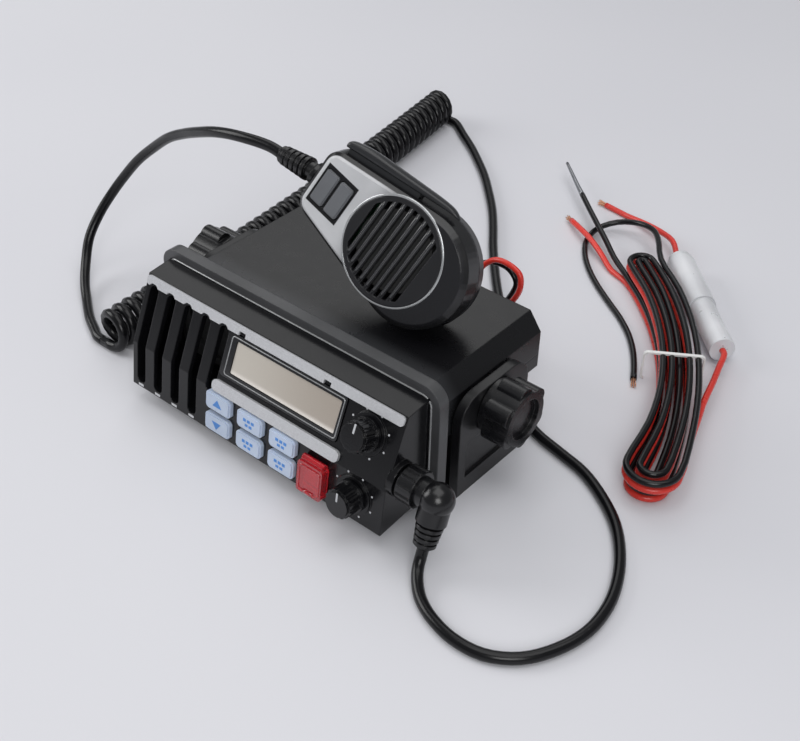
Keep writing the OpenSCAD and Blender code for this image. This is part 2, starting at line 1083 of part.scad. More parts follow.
module talk_switch() {
    color("#101011")
    place_mic()
        talk_place() {
            cube([talk_l, 2 * talk_reach, talk_h], center = true);
            translate([0, 0.6, 0])
                cube([talk_l - 2, 2 * talk_reach, talk_h - 1.2], center = true);
        }
}

boot_pitch = 5;
boot_neck_d = 8;
mic_boot_l = 20;
mic_end = [-mic_tail, -2, -9];
boot_start = [-mic_tail - 2, mic_end[1], mic_end[2]];

module mic_boot() {
    color("#151516") {
        place_mic()
            translate([0, mic_end[1], mic_end[2]]) {
                along_x(-mic_tail - 2, -mic_tail + 4, boot_neck_d);
                along_x(-mic_tail - 2.4, -mic_tail - 0.3, 10.6);
            }
        translate(mic_point(boot_start)) {
            rotate([0, boot_pitch - 90, 0]) {
                cylinder(d = 8, h = mic_boot_l, $fn = fine);
                for (i = [0:4])
                    translate([0, 0, 4 + i * 3.1])
                        cylinder(d = 10.8 - i * 0.45, h = 1.9, $fn = fine);
            }
        }
    }
}

function rot_y(a, p) = [p[0] * cos(a) + p[2] * sin(a), p[1], -p[0] * sin(a) + p[2] * cos(a)];
function rot_x(a, p) = [p[0], p[1] * cos(a) - p[2] * sin(a), p[1] * sin(a) + p[2] * cos(a)];
function mic_point(p) = mic_at + rot_y(mic_pitch, rot_x(mic_roll, p));
boot_tip = mic_point(boot_start) + rot_y(boot_pitch - 90, [0, 0, mic_boot_l]);

// ---------- swept tubes ----------

function unit(v) = v / norm(v);
function ring(c, u, w, r, sides) =
    [for (j = [0:sides - 1]) c + r * cos(j * 360 / sides) * u + r * sin(j * 360 / sides) * w];

// Tangents along a list of points
function tangent(p, i) = unit(p[min(i + 1, len(p) - 1)] - p[max(i - 1, 0)]);

// Frames carried along the route without twist
function next_u(u, t) = unit(u - (u * t) * t);
function frames(p, i, u) =
    let (t = tangent(p, i), v = next_u(u, t))
    i == len(p) - 1 ? [[v, cross(t, v)]] : concat([[v, cross(t, v)]], frames(p, i + 1, v));

// Halves each step of a route with a smooth curve through its points
function mid_point(p, i) =
    (-p[max(i - 1, 0)] + 9 * p[i] + 9 * p[i + 1] - p[min(i + 2, len(p) - 1)]) / 16;
function halved(p) =
    concat([for (i = [0:len(p) - 2]) each [p[i], mid_point(p, i)]], [p[len(p) - 1]]);

module tube(p, d, sides, u0) {
    f = frames(p, 0, u0);
    pts = [for (i = [0:len(p) - 1]) each ring(p[i], f[i][0], f[i][1], d / 2, sides)];
    n = len(p);
    faces = concat(
        [for (i = [0:n - 2]) for (j = [0:sides - 1])
            [i * sides + j, (i + 1) * sides + (j + 1) % sides, i * sides + (j + 1) % sides]],
        [for (i = [0:n - 2]) for (j = [0:sides - 1])
            [i * sides + j, (i + 1) * sides + j, (i + 1) * sides + (j + 1) % sides]],
        [for (j = [1:sides - 2]) [0, j, j + 1]],
        [for (j = [1:sides - 2]) [(n - 1) * sides, (n - 1) * sides + j + 1, (n - 1) * sides + j]]
    );
    polyhedron(points = pts, faces = faces, convexity = 10);
}

// ---------- cords ----------

floor_gap = 0.05;
cord_z = cord_d / 2 + floor_gap;
curl_r = (curl_d - cord_d) / 2;
coil_z = curl_d / 2 + floor_gap;
coil_a = [-113, -54];
coil_b = [-144, 246];
coil_bow = 6;
curl_rings = 8;

// Axis of the curly cord over the surface, s from 0 to 1
function coil_axis(s) =
    [coil_a[0] + (coil_b[0] - coil_a[0]) * s + coil_bow * sin(180 * s),
     coil_a[1] + (coil_b[1] - coil_a[1]) * s, coil_z];
function curl_point(k) =
    let (s = k / (curls * curl_rings), a = 360 * k / curl_rings)
    coil_axis(s) + curl_r * [sin(a), 0, -cos(a)];
curl_points = concat(
    [curl_point(0) - [cord_d + 1, 0, 0]],
    [for (k = [0:curls * curl_rings]) curl_point(k)],
    [curl_point(curls * curl_rings) + [cord_d + 1, 0, 0]]
);

module curly_cord() {
    color("#121213")
        tube(curl_points, cord_d, 6, [0, 0, -1]);
}

// Least distance between the surfaces of one turn and the next
curl_gap = min([for (k = [curl_rings * 2:curl_rings * 4])
    min([for (m = [k + curl_rings - 2:k + curl_rings + 2]) norm(curl_point(k) - curl_point(m))])]) - cord_d;
echo(curl_gap = curl_gap);

mic_route = concat([boot_tip + [-slip, 0, 0], boot_tip + [-9, 0, 1]], [
    [-71, 0, 113], [-86, 1, 109], [-102, 4, 102], [-116, 7, 95], [-130, 9, 87], [-144, 10, 76],
    [-156, 9, 65], [-166, 7, 53], [-173, 3, 42], [-177, -4, 31], [-177, -13, 20], [-172, -21, 11],
    [-163, -30, 5.2]], [
    [-152, -38, cord_z], [-140, -46, cord_z], [-130, -51, cord_z], curl_point(0) - [cord_d + 6, -0.3, 0],
    curl_point(0) - [cord_d + 1, 0, 0]
]);

module mic_lead() {
    color("#121213")
        tube(mic_route, cord_d, 8, [0, 0, 1]);
}

coil_out = curl_point(curls * curl_rings) + [cord_d + 1, 0, 0];
plug_route = concat([coil_out, coil_out + [6, -0.6, 0]], [
    for (q = [
        [-118, 236], [-105, 227], [-91, 216], [-77, 204], [-63, 190], [-50, 176], [-38, 161], [-26, 145],
        [-13, 129], [0, 114], [13, 100], [27, 85], [42, 68], [56, 53], [69, 40], [84, 32], [100, 28],
        [116, 24], [131, 16], [144, 6], [154, -6], [162, -20], [167, -35], [168, -51], [164, -66],
        [156, -79], [144, -87], [130, -88.6], [117, -85.6], [108, -81]
    ]) [q[0], q[1], cord_z]],
    [[102, -75.8, 3.4], [98.4, -71.2, 5.2], boot_end + cord_d * stem_dir, boot_end]
);

module plug_lead() {
    color("#121213")
        tube(plug_route, cord_d, 8, [0, 0, 1]);
}

// Wires out of the rear gland to the power connector
gland_out = [gland_x, case_back + 7.2, gland_z];
pigtail_route_red = concat([gland_out + [1.8, 0, 0], gland_out + [1.9, 6, 1.2]], [
    [23, 58, 44], [27, 61, 55], [34, 61.5, 61.5], [42, 61, 62.6], [49, 60, 60.5], [50, 59.5, 53],
    [44, 60, 41], [33, 62, 27], [20, 65, 13], [6, 67, 6.4], [-8, 67, 5.2], [-14, 67, 5.2]
]);
pigtail_route_black = concat([gland_out - [1.8, 0, 0], gland_out + [-1.9, 6, 0.6]], [
    [17, 58, 42], [21, 63, 51], [30, 65.5, 56.5], [39, 65.5, 56.6], [44, 65, 52], [42, 65.5, 44],
    [34, 67, 31], [23, 70, 18], [10, 71.6, 8], [-3, 71.4, 5.3], [-14, 71, 5.2]
]);

module pigtail_red() {
    color("#c03028")
        tube(pigtail_route_red, wire_d - 0.4, 8, [0, 0, 1]);
}

module pigtail_black() {
    color("#151516")
        tube(pigtail_route_black, wire_d - 0.4, 8, [0, 0, 1]);
}

module power_connector() {
    color("#d8d6d0")
    translate([-14, 69, 0.1])
        difference() {
            translate([-24, -5.6, 0])
                cube([23.95, 11.2, 10]);
            translate([-25, -4.2, 1.4])
                cube([8, 8.4, 7.2]);
        }
}

// ---------- folded power lead ----------

hank_at = [110.6, 111.2];
hank_dir = -57.3;
hank_bend = 226;
hank_waist = 0.68;
hank_flare = 0.42;
wire_step = wire_d + 0.8;
wide_step = wire_step / hank_waist;
least_half = 1.4;
reverse_at = 2.25;
run_from = 14;
loop_rings = 24;
head_pinch = 0.75;
tail_pinch = 0.84;
turn_half = 2.2;

// Bends the straight frame of the folded lead round a wide arc: u along it, v across it
function hank_place(u, v, z) =
    let (a = hank_dir - u * 180 / PI / hank_bend)
    [hank_at[0] + hank_bend * (sin(hank_dir) - sin(a)) - v * sin(a),
     hank_at[1] + hank_bend * (cos(a) - cos(hank_dir)) + v * cos(a), z];
function clamp01(x) = min(max(x, 0), 1);
function hank_point(t, low) =
    let (
        a = 360 * t,
        far = abs(t - reverse_at),
        l = hank_half - wire_d / 2 - wire_step * (reverse_at - far),
        w = least_half + wide_step * far,
        u = l * cos(a),
        side = sign(sin(a)) * pow(abs(sin(a)), hank_flare),
        end = pow(u / l, 2),
        pinch = hank_waist + ((u > 0 ? tail_pinch : head_pinch) - hank_waist) * end,
        climb = clamp01((t - reverse_at + 0.12) / 0.22)
    )
    hank_place(u, (w * pinch + turn_half * end) * side, low + 2 * wire_step * climb);

function hank_run(low, last) =
    [for (k = [run_from:last]) hank_point(k / loop_rings, low)];
red_low = wire_d / 2 + floor_gap;
black_low = red_low + wire_step;

hank_red = hank_run(red_low, 100);
hank_black = hank_run(black_low, 106);

// The fuse holder lies beside the upper half of the folded lead
fuse_d = 15;
fuse_v = (least_half + wide_step * reverse_at) * head_pinch + turn_half + wire_d / 2 + fuse_d / 2 + 1.4;
fuse_z = fuse_d / 2 + 0.6;
fuse_from = -hank_half + 8;
fuse_to = -16;
fuse_top = hank_place(fuse_from, fuse_v, fuse_z);
fuse_end = hank_place(fuse_to, fuse_v, fuse_z);
fuse_l = norm(fuse_end - fuse_top);
fuse_dir = (fuse_end - fuse_top) / fuse_l;

red_tail = [[-8, 196, 3.4], [1, 190, 5.2], [12, 184, 5.7], [24, 177, 4.4], [36, 170, red_low]];
black_tail = [[-42, 240, 9.4], [-29, 228, 9.2], [-15, 216, 9], [-1, 204, 8.6], [11, 194, 8.2],
    [22, 185, 7.6], [34, 175, 6.6]];
red_to_fuse = [
    hank_place(25, 12.2, red_low + 2 * wire_step), hank_place(10, 16.6, fuse_z + 1),
    hank_place(-3, 20.6, fuse_z + 0.3),
    fuse_end + wire_d * fuse_dir, fuse_end
];
fuse_lead = [
    fuse_top, fuse_top - wire_d * fuse_dir, [50, 209, 8], [38, 216, 6], [25, 221, 3.6], [11, 224, 1.7],
    [-4, 226, 1.7]
];
black_loop = [
    [46, 199, 12.6], [38, 207, 11.4], [27, 211, 9], [15, 208, 6.2], [8, 198, 3.6], [9, 186, 2], [16, 174, 1.7],
    [26, 163, 1.7], [38, 153, 1.7], [51, 144, 1.7], [63, 136, 1.7], [74, 127, 1.7], [83, 117, 1.7],
    [90, 107, 1.7], [96, 97, 1.7]
];

module power_red() {
    color("#c03028") {
        tube(concat(red_tail, hank_red, red_to_fuse), wire_d, 6, [0, 0, 1]);
        tube(fuse_lead, wire_d, 6, [0, 0, 1]);
    }
}

module power_black() {
    color("#151516")
        tube(concat(black_tail, hank_black, black_loop), wire_d, 6, [0, 0, 1]);
}

module fuse_holder() {
    color("#e4e6e8")
        translate(fuse_top)
            rotate([0, 0, atan2(fuse_dir[1], fuse_dir[0])]) {
                along_x(0.2, fuse_l - 0.2, fuse_d - 2);
                along_x(4, fuse_l * 0.55, fuse_d);
            }
}

tie_w = 1.8;

// A flat tie round the waist of the folded lead
module cable_tie() {
    stack = 3 * wire_step + wire_d;
    half = (least_half + wide_step * reverse_at) * hank_waist + wire_d / 2;
    inner = 2 * half + wire_d + 1.6;
    color("#e8e8e6")
    translate([hank_at[0], hank_at[1], 0])
        rotate([90, 0, hank_dir + 90])
            translate([-wire_d / 2 - 0.3, 0, -tie_w / 2])
                difference() {
                    translate([0, (stack + 1.3) / 2, 0])
                        block(inner + 2, stack + 1.3, 2.4, tie_w);
                    translate([0, stack / 2 + floor_gap, -1])
                        block(inner, stack + 0.4, 1.6, tie_w + 2);
                }
}

// Least distance between the surfaces of the folded wires, on their own points
function apart(p, q, skip) =
    min([for (i = [0:2:len(p) - 1]) min([for (j = [0:1:len(q) - 1])
        abs(i - j) < skip ? 1000 : norm(p[i] - q[j])])]);
echo(red_gap = apart(hank_red, hank_red, 2) - wire_d);
echo(red_black_gap = apart(hank_red, hank_black, 0) - wire_d);

bracket();
clamp_knob_right();
clamp_knob_left();
keypad_mat();
cable_tie();
friction_washers();
top_cover();
chassis();
front_housing();
front_rim();
silver_trim_upper();
silver_trim_lower();
case_seal();
threaded_inserts();
case_screws();
speaker_frame();
speaker_cone();
display_bezel();
display_lens();
display_module();
front_board();
main_board();
shield_can();
antenna_socket();
antenna_contact();
lead_gland();
mic_socket();
dial_encoders();
upper_dial();
lower_dial();
upper_shaft();
lower_shaft();
key_up();
key_down();
key_1();
key_2();
key_3();
key_4();
distress_cover();
distress_key();
plug_body();
plug_ring();
mic_front_shell();
mic_back_shell();
mic_grille();
mic_speaker();
mic_board();
mic_key_left();
mic_key_right();
talk_switch();
mic_boot();
curly_cord();
mic_lead();
plug_lead();
pigtail_red();
pigtail_black();
power_connector();
power_red();
power_black();
fuse_holder();
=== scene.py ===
# %% [markdown]
# # Dressing a fixed-mount marine radio
# The radio's solids come in as a fixed frame that is never moved. This lesson lays its cords, adds small
# trim and gives each surface a finish. All lengths are in metres, and the front of the radio faces -Y.

# %% Bring in the frame
import math

import bmesh
import bpy
from mathutils import Matrix, Vector


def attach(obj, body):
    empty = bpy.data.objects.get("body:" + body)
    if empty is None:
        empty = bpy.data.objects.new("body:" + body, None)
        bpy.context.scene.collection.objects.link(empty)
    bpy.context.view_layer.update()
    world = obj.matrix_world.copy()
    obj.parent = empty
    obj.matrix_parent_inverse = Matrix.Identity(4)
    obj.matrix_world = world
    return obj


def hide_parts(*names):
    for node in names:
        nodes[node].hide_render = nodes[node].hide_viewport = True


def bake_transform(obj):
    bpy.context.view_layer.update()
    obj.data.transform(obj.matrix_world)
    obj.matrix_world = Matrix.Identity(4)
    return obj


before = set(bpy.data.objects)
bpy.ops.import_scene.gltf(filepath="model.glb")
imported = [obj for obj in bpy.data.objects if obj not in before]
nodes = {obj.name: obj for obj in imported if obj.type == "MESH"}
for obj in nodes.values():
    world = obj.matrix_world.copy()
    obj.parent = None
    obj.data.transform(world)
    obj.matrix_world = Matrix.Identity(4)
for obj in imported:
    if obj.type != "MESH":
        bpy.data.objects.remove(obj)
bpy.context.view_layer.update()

mm = 0.001

# %% [markdown]
# ## Camera
# The picture looks down on the radio's right front corner from about arm's length. A camera could be
# aimed with a constraint, but its own three axes say the same thing without anything to solve.

# %% Camera
azimuth, elevation, roll = (math.radians(a) for a in (39.4, 38.4, 1.3))
ahead = Vector((-math.sin(azimuth) * math.cos(elevation), math.cos(azimuth) * math.cos(elevation),
                -math.sin(elevation)))
level = Vector((math.cos(azimuth), math.sin(azimuth), 0))
above = level.cross(ahead)
right = math.cos(roll) * level + math.sin(roll) * above
up = math.cos(roll) * above - math.sin(roll) * level
camera = bpy.data.objects.new("camera", bpy.data.cameras.new("camera"))
bpy.context.scene.collection.objects.link(camera)
camera.data.sensor_width, camera.data.lens = 36, 58.5
camera.data.clip_start = 0.02
camera.matrix_world = Matrix.Translation(Vector((322.8, -358.7, 397.0)) * mm) @ \
    Matrix((right, up, -ahead)).transposed().to_4x4()
bpy.context.scene.camera = camera
print("camera at", tuple(camera.matrix_world.translation))

# %% [markdown]
# ## Soft studio light
# The radio stands on a pale sheet in a bright tent: light comes from everywhere, with broad panels that
# put long highlights on the black parts. A white world is the tent and area lights are the panels.

# %% Light
world = bpy.data.worlds.new("tent")
world.use_nodes = True
world.node_tree.nodes["Background"].inputs[0].default_value = (0.95, 0.97, 1, 1)
world.node_tree.nodes["Background"].inputs[1].default_value = 0.25
bpy.context.scene.world = world
bpy.context.scene.view_settings.view_transform = "Standard"


def panel_light(name, place, target, size, power):
    glow = bpy.data.objects.new(name, bpy.data.lights.new(name, "AREA"))
    glow.data.size, glow.data.energy = size, power
    glow.location = place
    glow.rotation_mode = "QUATERNION"
    glow.rotation_quaternion = (Vector(target) - Vector(place)).to_track_quat("-Z", "Y")
    bpy.context.scene.collection.objects.link(glow)
    print(name, power, "W")


panel_light("back_panel", (-0.75, 0.75, 1.1), (0, 0.02, 0.05), 0.9, 3)
panel_light("top_panel", (0.2, 0.1, 1.5), (0.15, 0.1, 0), 1.3, 9.5)
panel_light("front_panel", (0.9, -0.9, 0.9), (0, 0, 0.05), 0.7, 8)
panel_light("left_panel", (-1.2, -0.5, 0.7), (0, 0, 0.05), 0.8, 8)

# %% [markdown]
# ## A way to write finishes
# A finish is a small network of nodes. Written node by node it is long, so one class wraps a socket and
# lets ordinary arithmetic add the Math nodes, and another holds the material.


# %% Values that do shader maths
class Value:
    """An output socket. Arithmetic on it adds Math nodes to its finish."""

    def __init__(self, finish, socket):
        self.finish, self.socket = finish, socket

    def math(self, operation, *terms):
        return self.finish.add("ShaderNodeMath", {"operation": operation}, dict(enumerate(terms)))

    def __add__(self, other):
        return self.math("ADD", self, other)

    def __sub__(self, other):
        return self.math("SUBTRACT", self, other)

    def __rsub__(self, other):
        return self.math("SUBTRACT", other, self)

    def __mul__(self, other):
        return self.math("MULTIPLY", self, other)

    def __abs__(self):
        return self.math("ABSOLUTE", self)

    __radd__ = __add__
    __rmul__ = __mul__


class Finish:
    """One material: a Principled shader and whatever feeds it. plug links a Value to a socket, and writes
    a number or a colour on the socket itself."""

    def __init__(self, name):
        self.material = bpy.data.materials.new(name)
        self.material.use_nodes = True
        self.tree = self.material.node_tree
        self.tree.nodes.clear()
        self.shader = self.tree.nodes.new("ShaderNodeBsdfPrincipled")
        self.tree.links.new(self.shader.outputs[0], self.tree.nodes.new("ShaderNodeOutputMaterial").inputs[0])

    def plug(self, socket, value):
        if isinstance(value, Value):
            self.tree.links.new(value.socket, socket)
        else:
            socket.default_value = value

    def add(self, kind, settings=None, inputs=None, out=0):
        node = self.tree.nodes.new(kind)
        for name, value in (settings or {}).items():
            setattr(node, name, value)
        for key, value in (inputs or {}).items():
            self.plug(node.inputs[key], value)
        return Value(self, node.outputs[out])

    def set(self, **sockets):
        for name, value in sockets.items():
            self.plug(self.shader.inputs[name.replace("_", " ")], value)
        return self

    def spot(self):
        return self.add("ShaderNodeTexCoord", out="Object")

    def noise(self, spot, scale, detail=2.0):
        return self.add("ShaderNodeTexNoise", {}, {"Vector": spot, "Scale": scale, "Detail": detail})

    def along(self, spot, direction):
        return self.add("ShaderNodeVectorMath", {"operation": "DOT_PRODUCT"}, {0: spot, 1: direction}, out="Value")

    def step(self, value, low, high):
        return self.add("ShaderNodeMapRange", {"interpolation_type": "SMOOTHSTEP"}, {0: value, 1: low, 2: high})

    def mix(self, share, first, second):
        first, second = (c if isinstance(c, Value) else (*c, 1) for c in (first, second))
        return self.add("ShaderNodeMix", {"data_type": "RGBA"}, {0: share, 6: first, 7: second}, out=2)

    def bump(self, height, depth, soften=0.0):
        inputs = {"Strength": 0.6, "Distance": depth, "Height": height}
        if soften:
            inputs["Normal"] = self.add("ShaderNodeBevel", {"samples": 4}, {"Radius": soften})
        return self.set(Normal=self.add("ShaderNodeBump", {}, inputs))


print("shader maths is ready")

# %% [markdown]
# Nearly every part is moulded, painted or plated, so its finish is the same idea with other numbers: a
# colour that drifts slowly, gloss that changes with handling, a fine grain, and edges that are never razor
# sharp. One function makes them all, and the few that differ add to what it returns.


# %% Moulded, painted and plated surfaces
def coat_of(name, colour, rough=0.4, grain=1500, depth=0.03, vary=0.1, soften=0.35, wear=0.14, **sockets):
    finish = Finish(name)
    spot = finish.spot()
    slow = finish.noise(spot, 32, 3)
    handled = finish.noise(spot, 170, 4)
    tone = finish.mix(finish.step(slow, 0.3, 0.7), [c * (1 - vary) for c in colour], [c * (1 + vary) for c in colour])
    finish.set(Base_Color=tone, Roughness=rough + wear * (handled - 0.5), **sockets)
    finish.bump(finish.noise(spot, grain), depth * mm, soften * mm)
    return finish


cord_black = coat_of("cord_rubber", (0.005, 0.005, 0.006), 0.24, 900, 0.02, soften=0, Specular_IOR_Level=0.3)
wire_red = coat_of("red_wire_sheath", (0.68, 0.04, 0.028), 0.28, 700, 0.02, soften=0)
wire_black = coat_of("black_wire_sheath", (0.005, 0.005, 0.006), 0.24, 700, 0.02, soften=0, Specular_IOR_Level=0.35)
bare_copper = coat_of("copper_strands", (0.8, 0.42, 0.26), 0.3, 3000, 0.02, soften=0, Metallic=1.0)
tinned = coat_of("tinned_strands", (0.36, 0.37, 0.39), 0.3, 3000, 0.03, soften=0, Metallic=1.0)
print("finishes for the cords are ready")

# %% [markdown]
# ## Tubes along a route
# A cord is a round section carried along a smooth line. A curve object with a bevel would do, but part of
# these cords bends with the tilting head, which needs a mesh, so all of them are swept by one function.


# %% Smooth lines and swept tubes
def p(*xyz):
    return Vector(xyz) * mm


def smooth(points, steps):
    """A curve through the points, with short steps between each two of them."""
    ends = [2 * points[0] - points[1], *points, 2 * points[-1] - points[-2]]
    line = []
    for a, b, c, d in zip(ends, ends[1:], ends[2:], ends[3:]):
        before, here, after = (max((w - v).length, 1e-7) ** 0.5 for v, w in ((a, b), (b, c), (c, d)))
        out = ((b - a) / before - (c - a) / (before + here) + (c - b) / here) * here
        into = ((c - b) / here - (d - b) / (here + after) + (d - c) / after) * here
        for k in range(steps):
            t = k / steps
            line.append(b * (2 * t**3 - 3 * t * t + 1) + out * (t**3 - 2 * t * t + t)
                        + c * (3 * t * t - 2 * t**3) + into * (t**3 - t * t))
    return line + [points[-1]]


def skin(bm, rings, closed=False):
    """Joins rings of points into a surface. Open ends get a cap."""
    for first, second in zip(rings, rings[1:] + (rings[:1] if closed else [])):
        for k, corner in enumerate(first):
            n = (k + 1) % len(first)
            bm.faces.new((corner, first[n], second[n], second[k]))
    if not closed:
        bm.faces.new(rings[0][::-1])
        bm.faces.new(rings[-1])


def sweep(bm, line, radius, sides=12, closed=False):
    """Draws a round tube along a line, without twist. The radius is one number or one for each point."""
    rings, side, last = [], None, len(line) - 1
    radii = radius if isinstance(radius, list) else [radius] * len(line)
    for i, here in enumerate(line):
        there = line[(i + 1) % len(line)] if closed else line[min(i + 1, last)]
        back = line[i - 1] if closed else line[max(i - 1, 0)]
        along = (there - back).normalized()
        side = along.orthogonal() if side is None else side
        side = (side - along * side.dot(along)).normalized()
        other = along.cross(side)
        turn = [2 * math.pi * k / sides for k in range(sides)]
        rings.append([bm.verts.new(here + radii[i] * (math.cos(a) * side + math.sin(a) * other)) for a in turn])
    skin(bm, rings, closed)


def build(name, draw, finish, body=None, flat=False):
    """A new piece drawn into a bmesh, with its finish, riding on a body. Faces of five corners or more,
    such as a tube's end caps, are shaded flat."""
    mesh = bpy.data.meshes.new(name)
    bm = bmesh.new()
    draw(bm)
    bm.to_mesh(mesh)
    bm.free()
    piece = bpy.data.objects.new(name, mesh)
    bpy.context.scene.collection.objects.link(piece)
    mesh.polygons.foreach_set("use_smooth", [not flat and len(f.vertices) <= 4 for f in mesh.polygons])
    mesh.materials.append(finish.material)
    if body:
        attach(piece, body)
    print(name, "has", len(mesh.polygons), "faces")
    return piece


floor_gap, tuck = 0.05, 0.94


def lay(name, line, radius, finish, slot, nodes_for, far_end, body=None, joint=None, tucked=None, **facts):
    """A free cord: swept, set to ride on its body if it has one, and its length printed. A cord given a joint has its
    placement baked into its mesh. A tucked end runs on a step inside the piece that carries it on, so that no
    ring shows where the two meet."""
    line = [Vector((v.x, v.y, max(v.z, radius + floor_gap * mm))) for v in line]
    radii = [radius] * len(line)
    if tucked is not None:
        radii[tucked] *= tuck
    cord = build(name, lambda bm: sweep(bm, line, radii), finish, body)
    if joint:
        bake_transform(cord)
    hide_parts(*nodes_for)
    length = sum((b - a).length for a, b in zip(line, line[1:]))
    print(name, "is", round(length, 3), "m long")
    return cord


# %% [markdown]
# ## Microphone cord
# It leaves the microphone's boot, hangs to the left and drops to the table. There it winds as a long curly
# cord along the radio's left side and on past its back, and a plain lead comes round to the plug. A curve
# modifier could wind the coil, but a circle that moves on while it turns takes only a little arithmetic.

# %% The curly cord
cord_r = 2.6 * mm
curl_r, curls, curl_steps = 8.4, 46, 16
coil_x, coil_y, coil_z, coil_l, coil_drift, coil_bow = -113, -54, 11.05, 300, 31, 6
coil_stub = p(6.2, 0, 0)


def curl_point(turns):
    s, a = turns / curls, 2 * math.pi * turns
    return p(coil_x - coil_drift * s + coil_bow * math.sin(math.pi * s) + curl_r * math.sin(a),
             coil_y + coil_l * s, coil_z - curl_r * math.cos(a))


coil = [curl_point(k / curl_steps) for k in range(curls * curl_steps + 1)]
coil = [coil[0] - coil_stub, *coil, coil[-1] + coil_stub]
lay("curly_cord_wound", coil, cord_r, cord_black, "cord_black", ["curly_cord"], "object", "bracket", lay="coiled")

# %% [markdown]
# Between the boot and the coil the plain lead crosses two joints: the microphone lifts off the case, and
# the case tilts in its bracket. One tube on a single body would come away at its other end. A piece can bend
# across one joint only. So the lead is drawn in two lengths, one for each joint, and each is given the two
# bodies and the two places of its joint; here that only bakes the piece's placement into its mesh.

# %% The lead from the microphone down to the coil
boot_tip, hang_steps = p(-42.8, 1.4, 113.25), 5
lift_bend, tilt_bend = (p(-140, 10, 80), p(-52, 1, 113)), (p(-160, 5, 12), p(-160, 5, 70))
mic_route = [boot_tip + p(-0.3, 0, 0), boot_tip + p(-9, 0, 1)] + [p(*q) for q in (
    (-71, 0, 113), (-86, 1, 109), (-102, 4, 102), (-116, 7, 95), (-130, 9, 87), (-144, 10, 76), (-156, 9, 65),
    (-166, 7, 53), (-173, 3, 42), (-177, -4, 31), (-177, -13, 20), (-172, -21, 11), (-163, -30, 5.2),
    (-152, -38, 2.65), (-140, -46, 2.65), (-130, -51, 2.65))] + [
    coil[0] - p(5, -0.3, 0), coil[0]]
mic_line = smooth(mic_route, hang_steps)
shared = 7 * hang_steps
lay("microphone_lead_upper", mic_line[:shared + 2], cord_r, cord_black, "cord_black", ["mic_lead"], "object",
    tucked=-1, joint=("head", "mic", *lift_bend))
lay("microphone_lead_lower", mic_line[shared - 1:][::-1], cord_r, cord_black, "cord_black", ["mic_lead"], "object",
    tucked=-1, joint=("bracket", "head", *tilt_bend))

# %% [markdown]
# From the far end of the coil the plain lead comes back along the table to the plug. It could bend over a
# long stretch, but then a head tilted nose down would press it some four millimetres into the table. So only
# the last stretch before the plug's boot is given the joint between head and bracket, which would leave
# little more than half a millimetre of that; here that joint only bakes the piece's placement into its mesh.

# %% The lead from the coil round to the plug
plug_at, stem_angle, stem_l, table_steps = p(97, -58.5, 34), math.radians(20), 21.5, 4
bend_end = p(112, -83.5, 2.65)
stem = Vector((0, -math.sin(stem_angle), -math.cos(stem_angle)))
boot_end = plug_at + stem_l * mm * stem
plug_route = [coil[-1], coil[-1] + p(6, -0.6, 0)] + [p(x, y, 2.65) for x, y in (
    (-118, 236), (-105, 227), (-91, 216), (-77, 204), (-63, 190), (-50, 176), (-38, 161), (-26, 145), (-13, 129),
    (0, 114), (13, 100), (27, 85), (42, 68), (56, 53), (69, 40), (84, 32), (100, 28), (116, 24), (131, 16),
    (144, 6), (154, -6), (162, -20), (167, -35), (168, -51), (164, -66), (156, -79), (144, -87), (130, -88.6),
    (117, -85.6), (108, -81))] + [p(102, -75.8, 3.4), p(98.4, -71.2, 5.2), boot_end + 5.2 * mm * stem, boot_end]
plug_line = smooth(plug_route, table_steps)
turned = 25 * table_steps
lay("plug_lead_end", plug_line[turned - 1:][::-1], cord_r, cord_black, "cord_black", ["plug_lead"], "object",
    tucked=-1, joint=("head", "bracket", boot_end, bend_end))
lay("plug_lead_on_floor", plug_line[:turned + 2][::-1], cord_r, cord_black, "cord_black", ["plug_lead"], "object",
    "bracket", tucked=0)

# %% [markdown]
# ## Power wires
# Two short wires come out of the back of the case and loop down to a white connector. The mating lead, red
# and black, lies folded beside the radio with its fuse holder. The fold is a stack of long turns, drawn in
# at the waist by a tie: two straights and a half circle at each end, with the wire laid turn beside turn.

# %% The two wires behind the case
gland_out, pigtail_r, pigtail_bend = p(18, 48.6, 32.5), 1.4 * mm, (p(20, 62, 31), p(20, 62, 7))
pigtails = {
    "pigtail_red": (wire_red, "wire_red", [gland_out + p(1.8, 0, 0), gland_out + p(1.9, 6, 1.2)] + [p(*q) for q in (
        (23, 58, 44), (27, 61, 55), (34, 61.5, 61.5), (42, 61, 62.6), (49, 60, 60.5), (50, 59.5, 53), (44, 60, 41),
        (33, 62, 27), (20, 65, 13), (6, 67, 6.4), (-8, 67, 5.2), (-14, 67, 5.2))]),
    "pigtail_black": (wire_black, "wire_black",
                      [gland_out - p(1.8, 0, 0), gland_out + p(-1.9, 6, 0.6)] + [p(*q) for q in (
        (17, 58, 42), (21, 63, 51), (30, 65.5, 56.5), (39, 65.5, 56.6), (44, 65, 52), (42, 65.5, 44), (34, 67, 31),
        (23, 70, 18), (10, 71.6, 8), (-3, 71.4, 5.3), (-14, 71, 5.2))]),
}
for node, (finish, slot, route) in pigtails.items():
    lay(node + "_wire", smooth(route, 5), pigtail_r, finish, slot, [node], "connector",
        joint=("head", "bracket", *pigtail_bend), with_pieces=[nodes["power_connector"]])

# %% [markdown]
# The folded lead lies in a gentle bow on the table. Its points could be placed one by one, but its turns
# are easier to think of on a straight strip, with u along it and v across. One function bends the strip,
# and another walks round the turns on it.

